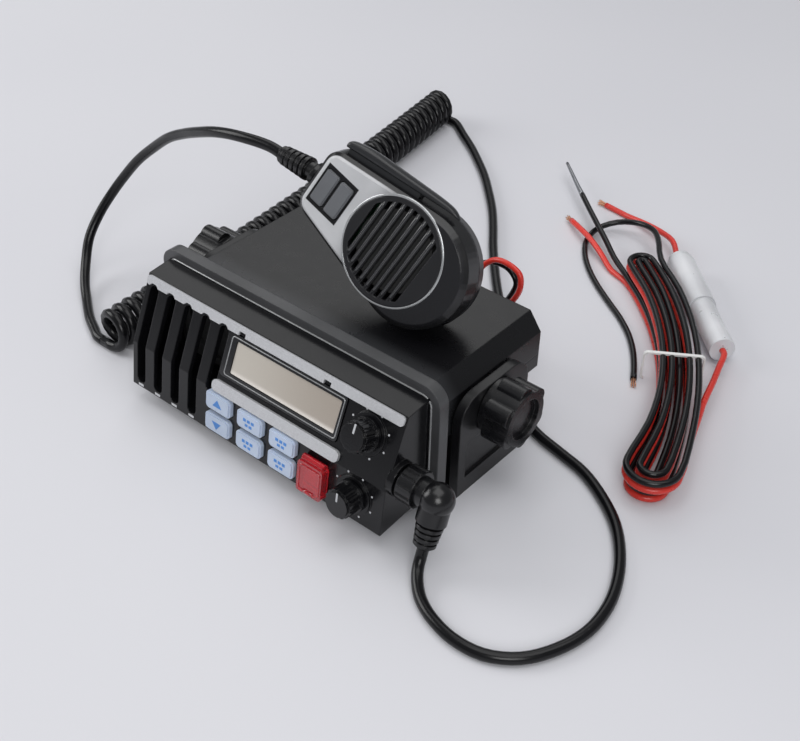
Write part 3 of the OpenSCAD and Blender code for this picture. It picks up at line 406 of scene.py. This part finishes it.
# %% The frame of the folded lead
wire_d = 3.2
wire_r = wire_d / 2 * mm
fold_at, fold_dir, fold_bend, fold_half = (110.6, 111.2), -57.3, 226, 97
waist, lift, head_pinch, tail_pinch, wire_step, wire_gap = 0.68, 1.0, 0.7, 0.95, 4.0, 0.3
wide_step, least_half, back_at = (wire_step + wire_gap) / waist, 1.4, 2.25
climb_before, climb_turns = 0.12, 0.22
most_half = least_half + wide_step * back_at
head_l = fold_half - wire_d / 2 - most_half * head_pinch
tail_l = fold_half - wire_d / 2 - most_half * tail_pinch


def fold_place(u, v, z):
    a0, a = math.radians(fold_dir), math.radians(fold_dir) - u / fold_bend
    return p(fold_at[0] + fold_bend * (math.sin(a0) - math.sin(a)) - v * math.sin(a),
             fold_at[1] + fold_bend * (math.cos(a) - math.cos(a0)) + v * math.cos(a), z)


def fold_point(t, low):
    f, w = t % 1, least_half + wide_step * abs(t - back_at)
    z = low + 2 * wire_step * min(max((t - back_at + climb_before) / climb_turns, 0), 1)
    if f < 1 / 8 or f >= 7 / 8 or 3 / 8 < f < 5 / 8:
        at_head = 3 / 8 < f < 5 / 8
        a = math.radians(720 * f - (180 if at_head else 720 if f >= 7 / 8 else 0))
        u, r = (-head_l, w * head_pinch) if at_head else (tail_l, w * tail_pinch)
        return fold_place(u + r * math.cos(a), r * math.sin(a), z)
    x = (3 / 8 - f if f < 0.5 else f - 5 / 8) * 4
    u = (head_l + tail_l) * x - head_l
    end = (u / tail_l if u > 0 else u / head_l) ** 2
    pinch = waist + ((tail_pinch if u > 0 else head_pinch) - waist) * end
    return fold_place(u, (w if f < 0.5 else -w) * pinch, z + lift * (1 - end))


red_low, black_low = wire_d / 2 + floor_gap, wire_d / 2 + floor_gap + wire_step
fuse_d, fuse_gap, fuse_lift = 15, 3.6, 0.6
fuse_v, fuse_z = most_half * head_pinch + wire_d / 2 + fuse_d / 2 + fuse_gap, fuse_d / 2 + fuse_lift
fuse_top, fuse_end = fold_place(8 - fold_half, fuse_v, fuse_z), fold_place(-16, fuse_v, fuse_z)
fuse_dir = (fuse_end - fuse_top).normalized()
print("fuse holder is", round((fuse_end - fuse_top).length, 4), "m long")

# %% [markdown]
# Red is laid first and black on top of it, turn for turn, as a twin lead folds. Separate loops would be
# simpler, but a real wire is one piece, so each winds inwards and out again on top, and has both its ends
# outside. At one end they leave as a pair. At the other, red goes into the fuse holder, and black turns
# round and comes back beside the bundle.

# %% The folded red and black wires
red_tail = [p(*q) for q in ((-8, 196, 3.4), (1, 190, 5.2), (12, 184, 5.7), (24, 177, 4.4), (36, 170, 1.65))]
red_to_fuse = [fold_place(40, 11.4, red_low + 2 * wire_step), fold_place(25, 13, fuse_z + 1.4),
               fold_place(10, 16.8, fuse_z + 1), fold_place(-3, 20.6, fuse_z + 0.3),
               fuse_end + wire_d * mm * fuse_dir, fuse_end]
red_run = red_tail + [fold_point(k / 24, red_low) for k in range(15, 101)] + red_to_fuse
black_tail = [p(*q) for q in ((-15, 216, 9), (-8, 210, 8.8), (-1, 204, 8.6), (11, 194, 8.2), (22, 185, 7.6),
                              (34, 175, 6.6))]
black_loop = [p(*q) for q in (
    (46, 199, 12.6), (38, 207, 11.4), (27, 211, 9), (15, 208, 6.2), (8, 198, 3.6), (9, 186, 2), (16, 174, 1.7),
    (26, 163, 1.7), (38, 153, 1.7), (51, 144, 1.7), (63, 136, 1.7), (74, 127, 1.7), (83, 117, 1.7),
    (90, 107, 1.7), (96, 97, 1.7))]
black_run = black_tail + [fold_point(k / 24, black_low) for k in range(15, 106)] + black_loop
fuse_lead = [fuse_top, fuse_top - wire_d * mm * fuse_dir] + [p(*q) for q in (
    (50, 209, 8), (38, 216, 6), (25, 221, 3.6), (11, 224, 1.7), (-4, 226, 1.7))]
lay("power_wire_red", smooth(red_run, 3)[::-1], wire_r, wire_red, "wire_red", ["power_red"], "bare", "bracket",
    lay="coiled", with_pieces=[nodes["cable_tie"]])
lay("power_wire_black", smooth(black_run, 3)[::-1], wire_r, wire_black, "wire_black", ["power_black"], "bare",
    "bracket", lay="coiled")
lay("fuse_wire_red", smooth(fuse_lead, 5), wire_r, wire_red, "wire_red", ["power_red"], "bare", "bracket",
    with_pieces=[nodes["fuse_holder"]])

# %% [markdown]
# A cut wire shows its strands, which a plain copper rod wouldn't. Three ends get a bundle of seven thin
# tubes, one in the middle and six round it. One end of the black wire is tinned, and solder fills the
# gaps between the strands, so it stands out as one long bright pin.


# %% Bare wire ends
def strands(bm, start, end, thick):
    along = (end - start).normalized()
    side = along.orthogonal()
    for k in range(7):
        turned_side = Matrix.Rotation(math.radians(60 * k), 3, along) @ side
        off = turned_side * (0 if k == 6 else 2.1 * thick)
        sweep(bm, smooth([start + off, start.lerp(end, 0.5) + off * 1.1, end + off * 1.5], 3), thick, 6)


bare_ends = {"red_tail_strands": (p(-7.5, 195.7, 3.3), p(-12.5, 198.6, 2.4)),
             "fuse_wire_strands": (p(-3.6, 226, 1.7), p(-9, 226.3, 1.7)),
             "black_loop_strands": (p(95.8, 97.3, 1.7), p(98.6, 92.8, 1.7))}
strand_r, pin_thick, pin_taper = 0.3 * mm, 1.5, 0.05
for name, (start, end) in bare_ends.items():
    build(name, lambda bm: strands(bm, start, end, strand_r), bare_copper, "bracket")
pin_line = smooth([p(-14, 215.1, 9), p(-22, 222, 9.1), p(-32, 231, 9.3), p(-42, 240, 9.4)], 4)
pin_radii = [(pin_thick - pin_taper * i) * mm for i in range(len(pin_line))]
build("black_tail_pin", lambda bm: sweep(bm, pin_line, pin_radii), tinned, "bracket")

# %% [markdown]
# ## Finishes of the solids
# The case is painted metal, satin black, with a painted highlight just behind the rim, where the light catches
# it. The front is moulded plastic. Knobs, boots and keys are handled more, so their gloss varies more.


# %% Giving a finish to solids
def finish_solids(finish, *names):
    for name in names:
        slots = nodes[name].material_slots
        if not slots:
            nodes[name].data.materials.append(finish.material)
        for slot in slots:
            slot.material = finish.material
    print(finish.material.name, "is on", ", ".join(names))


case_paint = coat_of("case_paint", (0.006, 0.006, 0.007), 0.28, 1300, 0.012, soften=0.8, wear=0.06,
                     Specular_IOR_Level=0.35)
# painted highlight: the roof is painted lighter in a band just behind the rim, where the light catches it
painted_highlight_front, painted_highlight_back = -0.027, -0.016
painted_highlight_band = case_paint.step(case_paint.along(case_paint.spot(), (0, 1, 0)), painted_highlight_front, painted_highlight_back)
case_paint.set(Base_Color=case_paint.mix(painted_highlight_band, (0.03, 0.031, 0.034), (0.005, 0.005, 0.006)))
finish_solids(case_paint, "top_cover", "chassis")
finish_solids(coat_of("bracket_paint", (0.006, 0.006, 0.007), 0.36, 900, 0.04, soften=0.9, wear=0.08), "bracket")
finish_solids(coat_of("knob_plastic", (0.005, 0.005, 0.006), 0.26, 1400, 0.03, soften=0.6),
              "clamp_knob_right", "clamp_knob_left")
finish_solids(coat_of("housing_plastic", (0.005, 0.005, 0.006), 0.2, 1600, 0.015, soften=0.7, wear=0.06,
                      Specular_IOR_Level=0.35), "front_housing")
finish_solids(coat_of("rim_paint", (0.06, 0.061, 0.064), 0.36, 1300, 0.03, soften=0.9), "front_rim")
finish_solids(coat_of("dial_plastic", (0.004, 0.004, 0.005), 0.15, 1500, 0.03, soften=0.3),
              "upper_dial", "lower_dial")
finish_solids(coat_of("soft_rubber", (0.007, 0.007, 0.008), 0.38, 1100, 0.03, soften=0.5), "friction_washers",
              "case_seal", "lead_gland", "keypad_mat")
finish_solids(coat_of("plug_rubber", (0.005, 0.005, 0.006), 0.25, 1100, 0.02, soften=0.6), "plug_body", "plug_ring",
              "mic_boot")

# %% [markdown]
# Silver paint is fine flake in lacquer. Noise finer than the eye can count gives the sparkle, and the
# flake's metal shows more where the noise is high.

# %% Silver paint, plated and turned metal
silver = coat_of("silver_paint", (0.5, 0.505, 0.52), 0.36, 2600, 0.03, soften=0.3)
flake = silver.step(silver.noise(silver.spot(), 4200, 1), 0.36, 0.76)
silver.set(Base_Color=silver.mix(flake, (0.5, 0.505, 0.52), (0.78, 0.79, 0.82)), Metallic=0.25 + 0.2 * flake)
finish_solids(silver, "silver_trim_upper", "silver_trim_lower")
finish_solids(coat_of("bright_steel", (0.55, 0.55, 0.57), 0.3, 2200, 0.02, Metallic=1.0), "case_screws",
              "shield_can", "upper_shaft", "lower_shaft", "dial_encoders")
finish_solids(coat_of("nickel_plate", (0.62, 0.61, 0.58), 0.22, 2400, 0.01, Metallic=1.0), "antenna_socket")
brass = coat_of("turned_brass", (0.72, 0.5, 0.2), 0.28, 2400, 0.02, Metallic=1.0)
finish_solids(brass, "threaded_inserts", "antenna_contact")

# %% [markdown]
# A circuit board is green lacquer over copper tracks. The tracks run square to each other, so two fine
# square waves would do, but a cell pattern reads as a board at this size and never repeats.

# %% Boards, speakers and other insides
board = coat_of("board_lacquer", (0.008, 0.04, 0.018), 0.3, 1800, 0.02)
tracks = board.add("ShaderNodeTexVoronoi", {"distance": "MANHATTAN", "feature": "DISTANCE_TO_EDGE"},
                   {"Vector": board.spot(), "Scale": 320.0})
board.set(Base_Color=board.mix(board.step(tracks, 0.03, 0.06), (0.02, 0.09, 0.04), (0.008, 0.04, 0.018)))
finish_solids(board, "front_board", "main_board", "mic_board")
finish_solids(coat_of("speaker_paper", (0.02, 0.02, 0.02), 0.75, 700, 0.1), "speaker_cone", "speaker_frame",
              "mic_speaker", "mic_socket")

# %% [markdown]
# ## The panel's two slopes
# The front is two sloping faces that meet in a crease: the display's above and the keys' below. A small
# part could be placed by three coordinates, but on a slope two numbers, across and down, say it more
# plainly, so each slope gets a frame of its own.

# %% Slopes of the panel
top_edge, crease, low_edge = (Vector((0, y, z)) * mm for y, z in ((-53.2, 62.5), (-67, 31.4), (-70.2, 8.8)))
upper_l, lower_l = (crease - top_edge).length / mm, (low_edge - crease).length / mm


def on_slope(edge, other, x, s, z=0.0):
    """A frame on the panel: x along the width, y up the slope, z outwards, at s millimetres down from an edge."""
    down = (other - edge).normalized()
    out = down.cross(Vector((1, 0, 0)))
    out = -out if out.y > 0 else out
    place = edge + down * s * mm + p(x, 0, 0) + out * z * mm
    return Matrix.Translation(place) @ Matrix((Vector((1, 0, 0)), -down, out)).transposed().to_4x4()


def on_upper(x, s, z=0.0):
    return on_slope(top_edge, crease, x, s, z)


def on_lower(x, s, z=0.0):
    return on_slope(crease, low_edge, x, s, z)


print("slopes are", round(upper_l, 2), "and", round(lower_l, 2), "mm long")

# %% [markdown]
# ## Display
# Behind clear glass the liquid-crystal layer is a warm grey, with painted light along its lower edge, where the
# glass is brighter. Real glass over that layer would be slower to render, so the lens wears those colours itself
# under a clear coat. They drift by how far across and down the slope a point lies.

# %% Display glass and bezel
painted_light_top, painted_light_foot, drift_left, drift_right = 0.0205, 0.0232, -0.02, 0.045
down = (crease - top_edge).normalized()
glass = coat_of("display_glass", (0.4, 0.36, 0.31), 0.16, 900, 0.0, soften=0, Coat_Weight=1.0, Coat_Roughness=0.06)
depth_down = glass.along(glass.spot(), tuple(down)) - top_edge.dot(down)
# painted light: the glass is painted brighter along its lower edge
glow = glass.step(depth_down, painted_light_top, painted_light_foot)
drift = glass.step(glass.along(glass.spot(), (1, 0, 0)), drift_left, drift_right)
glass.set(Base_Color=glass.mix(glow, glass.mix(drift, (0.56, 0.52, 0.46), (0.4, 0.35, 0.3)), (0.85, 0.8, 0.74)))
finish_solids(glass, "display_lens", "display_module")
finish_solids(coat_of("bezel_gloss", (0.005, 0.005, 0.006), 0.16, 1800, 0.015, soften=0.3, Coat_Weight=0.6),
              "display_bezel")

# %% [markdown]
# ## Keys and dials
# The keys are pale translucent rubber, and the distress key sits under a clear red cover. A plain pale
# colour would look like paint, so a little light scatters inside the rubber, and the cover lets most of
# the light through.

# %% Key finishes
key_rubber = coat_of("key_rubber", (0.5, 0.58, 0.72), 0.38, 1300, 0.03, vary=0.06, soften=0.5,
                     Subsurface_Weight=0.15, Subsurface_Radius=(0.002, 0.002, 0.003))
finish_solids(key_rubber, "key_up", "key_down", "key_1", "key_2", "key_3", "key_4")
red_clear = coat_of("red_clear_plastic", (0.85, 0.03, 0.05), 0.07, 900, 0.01, soften=0.3, wear=0.05,
                    Transmission_Weight=0.7, Coat_Weight=0.8)
finish_solids(red_clear, "distress_cover")
finish_solids(coat_of("red_key_rubber", (0.75, 0.07, 0.09), 0.35, 1300, 0.03), "distress_key")
mark_blue = coat_of("blue_print", (0.07, 0.24, 0.62), 0.4, 2600, 0.01, soften=0)
mark_pale = coat_of("pale_print", (0.55, 0.56, 0.58), 0.45, 2600, 0.01, soften=0)

# %% [markdown]
# The keys carry blue marks, and round each dial runs a ring of printed dots. An image could hold them, but
# thin solid shapes laid on the surface catch light as real print does and stay sharp close up.


# %% Marks on the keys and round the dials
def slab(bm, seat, outline, tall):
    """A thin prism on a frame, its top edge drawn in a little. The outline is in millimetres."""
    centre = Vector((sum(x for x, y in outline), sum(y for x, y in outline))) / len(outline)
    rings = []
    for z, share in ((-0.05, 1), (tall * 0.6, 1), (tall, 0.9)):
        rings.append([bm.verts.new(seat @ p(centre.x + (x - centre.x) * share, centre.y + (y - centre.y) * share, z))
                      for x, y in outline])
    skin(bm, rings)


def bar(x, y, w, h):
    return [(x - w / 2, y - h / 2), (x + w / 2, y - h / 2), (x + w / 2, y + h / 2), (x - w / 2, y + h / 2)]


key_columns, key_rows, key_face = (-18.6, 1.0, 20.6), (5.1, 16.3), 2.3
key_places = zip(("key_up", "key_down", "key_1", "key_2", "key_3", "key_4"),
                 [(x, s) for x in key_columns for s in key_rows])
arrows = {"key_up": [[(-2.8, -1.5), (2.8, -1.5), (0, 2.3)]], "key_down": [[(-2.8, 1.5), (0, -2.3), (2.8, 1.5)]]}
dashes = [bar(x, 1.0, 1.7, 1.5) for x in (-2.4, 0, 2.4)] + [bar(x, -1.4, 1.7, 1.3) for x in (-1.2, 1.2)]
for key, (x, s) in key_places:
    seat = on_lower(x, s, key_face)
    build(key + "_mark", lambda bm: [slab(bm, seat, shape, 0.12) for shape in arrows.get(key, dashes)], mark_blue,
          key, flat=True)


def dot(bm, seat, r, tall):
    slab(bm, seat, [(r * math.cos(a * math.pi / 5), r * math.sin(a * math.pi / 5)) for a in range(10)], tall)


dial_x, dots_r, dot_r = 61, 10.4, 0.5
dial_places = {"upper": (on_upper, 15), "lower": (on_lower, 10)}


def dots_round(bm, seat):
    for k in range(8):
        a = math.radians(22.5 + 45 * k)
        dot(bm, seat @ Matrix.Translation(p(dots_r * math.cos(a), dots_r * math.sin(a), 0)), dot_r, 0.14)


for dial, (slope, s) in dial_places.items():
    build(dial + "_dial_dots", lambda bm: dots_round(bm, slope(dial_x, s)), mark_pale, "head",
          flat=True)

# %% [markdown]
# Each speaker slot has a small bright spot at its foot, given the silver finish, and each dial's cap has a pale
# pointer. A mask on the cap could draw the pointer, but as a shape of its own it is one thin bar that rides on the
# dial.

# %% Slot spots and dial pointers
slot_x, slot_step, slot_count, slot_foot, dial_face = -71.4, 11.4, 5, 1.25, 11


def slot_spots(bm):
    for i in range(slot_count):
        slab(bm, on_lower(slot_x + slot_step * i, lower_l - slot_foot), bar(0, 0, 3.4, 1.1), 0.25)


build("slot_foot_spots", slot_spots, silver, "head", flat=True)
for dial, (slope, s) in dial_places.items():
    build(dial + "_dial_pointer", lambda bm: slab(bm, slope(dial_x, s, dial_face), bar(0, 3.9, 0.9, 4.2), 0.15),
          mark_pale, "dial_" + dial, flat=True)

# %% [markdown]
# The red cover has a raised frame and a tab to lift it by. A mask could colour them, but what shows is the
# light along their edges, so they are real shapes.

# %% Cover frame and tab
cover_x, cover_s, cover_face, bead_r = 40, 12, 4.7, 0.45 * mm


def rounded_outline(half_w, half_h, r, steps=8):
    corners = ((1, 1, 0), (-1, 1, 90), (-1, -1, 180), (1, -1, 270))
    return [(sx * (half_w - r) + r * math.cos(math.radians(a + 90 * k / steps)),
             sy * (half_h - r) + r * math.sin(math.radians(a + 90 * k / steps)))
            for sx, sy, a in corners for k in range(steps + 1)]


cover_top = on_lower(cover_x, cover_s, cover_face)
frame_line = [cover_top @ p(x, y - 0.6, 0) for x, y in rounded_outline(5.7, 6.3, 1.4)]
build("distress_cover_frame", lambda bm: sweep(bm, frame_line, bead_r, 8, True), red_clear,
      "distress_cover")
tab_seat = on_lower(cover_x, cover_s, cover_face - 0.1)
build("distress_cover_tab", lambda bm: slab(bm, tab_seat, bar(0, -7.0, 5.2, 1.5), 0.9), red_clear,
      "distress_cover")

# %% [markdown]
# ## Bright lines
# Three thin lines of light make the front: the bead along the rim's front edge, the line round the display
# and the ring round the microphone's grille. A mask could paint them, but they glint from every side as
# only a raised line does, so each is swept round a closed outline. The rim bead and the display line are
# also painted a light grey, a painted highlight on top of their own glint.

# %% Beads on the rim and the bezel
rim_y, rim_z, rim_half_w, rim_half_h, rim_round = -40.05, 37.9, 77.9, 26.3, 4.6
bezel_x, bezel_up, bezel_z, bezel_half_w, bezel_half_h, bezel_round = 13.2, 1.4, 0.5, 32.8, 9.1, 1.2
# painted highlight: light grey paint on the two beads, much lighter than the rim they sit on
painted_highlight_bead = coat_of("rim_bead_highlight_paint", (0.36, 0.365, 0.37), 0.26, 1500, 0.02, soften=0, Metallic=0.5)
rim_line = [p(x, rim_y, rim_z + z) for x, z in rounded_outline(rim_half_w, rim_half_h, rim_round)]
build("rim_bead", lambda bm: sweep(bm, rim_line, bead_r, 8, True), painted_highlight_bead, "head")
bezel_seat, fine_bead_r = on_upper(bezel_x, upper_l / 2 - bezel_up, bezel_z), 0.3 * mm
bezel_line = [bezel_seat @ p(x, y, 0) for x, y in rounded_outline(bezel_half_w, bezel_half_h, bezel_round)]
build("bezel_line", lambda bm: sweep(bm, bezel_line, fine_bead_r, 8, True), painted_highlight_bead, "head")

# %% [markdown]
# The grille's ribs are glossy and rounded, and each shows one long highlight. The solid's ribs are what
# nine slots leave of a flat disc, and a flat top catches the light all at once or not at all. A bevel
# modifier would round them but change the solid's mesh, so each rib gets a round crest of its own.

# %% Grille ring and rib crests
ring_r, rib_reach_r, rib_count, rib_gap, first_rib = 24, 21.2, 8, 3.9, -15.45
crest_r, crest_end_r, crest_z, crest_dip, crest_half = 0.8 * mm, 0.5 * mm, 0.12, 0.4, 6
mic_at = p(27, -6, 95.8)
mic_turn = Matrix.Rotation(math.radians(23.5), 3, "Y") @ Matrix.Rotation(math.radians(66), 3, "X")


def on_mic(x, y, z):
    return mic_at + mic_turn @ p(x, y, z)


ring = [on_mic(ring_r * math.cos(a * math.pi / 36), ring_r * math.sin(a * math.pi / 36), -0.4) for a in range(72)]
rib_gloss = coat_of("grille_rib_gloss", (0.03, 0.03, 0.033), 0.16, 1500, 0.0, soften=0, wear=0.05,
                    Specular_IOR_Level=0.9)


def crests(bm):
    for x in (rib_gap * i + first_rib for i in range(rib_count)):
        reach = math.sqrt(rib_reach_r**2 - x * x) + 0.3
        steps = range(-crest_half, crest_half + 1)
        line = [on_mic(x, reach * k / crest_half, crest_z - crest_dip * (abs(k) == crest_half)) for k in steps]
        sweep(bm, line, [crest_end_r if abs(k) == crest_half else crest_r for k in steps], 16)


build("grille_rib_crests", crests, rib_gloss, "mic")
mic_bead = coat_of("grille_bead_metal", (0.5, 0.51, 0.52), 0.2, 1500, 0.02, soften=0, Metallic=0.6)
build("grille_ring", lambda bm: sweep(bm, ring, 0.75 * mm, 8, True), mic_bead, "mic")

# %% [markdown]
# ## Microphone
# It is one moulded shell of glossy black, with a black recess for the two keys and black sides. On the neck's
# face a painted reflection of a light panel lies silver-grey, fading to black round the grille. Separate
# materials would need the mesh cut at each border, so masks along the microphone's own axes part the colours
# instead.

# %% Microphone finishes
recess_x, recess_half_l, recess_half_w, paint_edge = 0.0368, 0.0088, 0.0099, 0.0003
side_end, face_start, reflection_fade_start, reflection_fade_end = -0.0011, -0.0007, -0.026, -0.004
shell = coat_of("mic_shell_plastic", (0.3, 0.305, 0.315), 0.22, 1500, 0.02, soften=0.8, wear=0.06)
spot = shell.spot()
along_mic, over_mic, out_mic = (mic_turn @ Vector(v) for v in ((1, 0, 0), (0, 1, 0), (0, 0, 1)))
along_neck, over_neck, height = (shell.along(spot, tuple(v)) - mic_at.dot(v) for v in (along_mic, over_mic, out_mic))
face = shell.step(height, side_end, face_start)
# painted reflection: it fades out along the neck towards the grille
reflection_fade = shell.step(along_neck, reflection_fade_start, reflection_fade_end)
recess = (1 - shell.step(abs(along_neck + recess_x), recess_half_l, recess_half_l + paint_edge)) * \
    (1 - shell.step(abs(over_neck), recess_half_w, recess_half_w + paint_edge))
tone = shell.step(shell.noise(spot, 60, 3), 0.3, 0.7)
# painted reflection: a light panel mirrored in the glossy black neck, painted silver-grey over black
painted_reflection = shell.mix(reflection_fade, shell.mix(tone, (0.5, 0.505, 0.52), (0.58, 0.585, 0.6)), (0.012, 0.012, 0.014))
shell.set(Base_Color=shell.mix(face, (0.008, 0.008, 0.009), shell.mix(recess, painted_reflection, (0.006, 0.006, 0.007))))
finish_solids(shell, "mic_front_shell")
finish_solids(coat_of("mic_back_plastic", (0.012, 0.012, 0.014), 0.3, 1300, 0.03, soften=0.9), "mic_back_shell")
finish_solids(coat_of("grille_plastic", (0.016, 0.016, 0.018), 0.2, 1700, 0.015, soften=1.2, wear=0.05), "mic_grille")
finish_solids(coat_of("mic_key_plastic", (0.13, 0.135, 0.145), 0.3, 1500, 0.03, soften=0.5), "mic_key_left",
              "mic_key_right")
talk_rubber = coat_of("talk_rubber", (0.022, 0.023, 0.025), 0.26, 1200, 0.02, soften=0.8, wear=0.08)
finish_solids(talk_rubber, "talk_switch")

# %% [markdown]
# The talk bar is one long bar of rubber that swells under the fingers and thins out over the grille. Its
# solid is a plain block in a slot of the shell, so the swelled bar is lofted over the block from rounded
# sections. It stands off the shell by a little more than it travels.

# %% Talk bar
talk_gap, talk_z, talk_sides, squareness = 1.35, -7.4, 20, 0.72
neck_slope, round_x, round_r = math.radians(10.7), 11, 27
neck_end = round_x - round_r * math.sin(neck_slope)
talk_sections = [Vector(v) for v in (
    (-45.7, 0.7, 1.9), (-45.4, 1.25, 2.7), (-44.7, 1.6, 3.1), (-41, 2.0, 3.4), (-36, 2.3, 3.5), (-30, 2.35, 3.5),
    (-24, 2.2, 3.5), (-18, 2.05, 3.4), (-12, 1.9, 3.3), (-6, 1.75, 3.2), (0, 1.6, 3.0), (5, 1.4, 2.7),
    (9, 1.1, 2.2), (12, 0.6, 1.4), (13, 0.3, 0.8))]


def beside_shell(x):
    """The point of the shell's upper side at x, and the direction straight out of it."""
    out = Vector((-math.sin(neck_slope), math.cos(neck_slope)))
    if x > neck_end:
        out = Vector((x - round_x, math.sqrt(round_r**2 - (x - round_x) ** 2))).normalized()
    back = max(neck_end - x, 0)
    return Vector((round_x, 0)) + round_r * out - Vector((back, back * math.tan(neck_slope))), out


def talk_bar(bm):
    rings = []
    for x, thick, tall in smooth(talk_sections, 3):
        side, out = beside_shell(x)
        rings.append([])
        for a in (2 * math.pi * k / talk_sides for k in range(talk_sides)):
            c, s = (math.copysign(abs(v) ** squareness, v) for v in (math.cos(a), math.sin(a)))
            place = side + (talk_gap + thick * (1 + c)) * out
            rings[-1].append(bm.verts.new(on_mic(place.x, place.y, talk_z + tall * s)))
    skin(bm, rings)


build("talk_bar", talk_bar, talk_rubber, "talk_switch")
print("talk bar stands", talk_gap, "mm off the shell")

# %% [markdown]
# ## Connector, fuse holder and tie
# These are milky nylon: light goes in, scatters and comes back out soft. A true volume would be slow, and
# some transmission and some scattering under the surface give that at little cost.

# %% Milky parts
milky = coat_of("milky_nylon", (0.86, 0.87, 0.9), 0.3, 800, 0.05, soften=0.5, Transmission_Weight=0.3,
                Subsurface_Weight=0.2, Subsurface_Radius=(0.004, 0.004, 0.004))
finish_solids(milky, "fuse_holder", "power_connector")
finish_solids(coat_of("tie_nylon", (0.78, 0.78, 0.77), 0.45, 1200, 0.03, soften=0.2), "cable_tie")
pin_stops, pin_z, pin_r = (-37, -36.4, -33, -31.2, -30.4), 5.1, 0.8 * mm
for name, y in (("connector_pin_left", 66.8), ("connector_pin_right", 71.2)):
    build(name, lambda bm: sweep(bm, [p(x, y, pin_z) for x in pin_stops], pin_r), brass, "bracket")

# %% [markdown]
# ## The sheet underneath
# A wide pale sheet catches the soft shadows. One flat colour would look too even, so its tone drifts very
# slowly, as paper does under a tent.

# %% Floor
paper = Finish("pale_sheet")
cloud = paper.step(paper.noise(paper.spot(), 1.6, 2), 0.3, 0.7)
paper.set(Base_Color=paper.mix(cloud, (0.66, 0.66, 0.7), (0.7, 0.7, 0.735)), Roughness=0.75)
sheet_half = 4
floor = build("floor_sheet", lambda bm: bmesh.ops.create_grid(bm, x_segments=8, y_segments=8, size=sheet_half),
              paper)
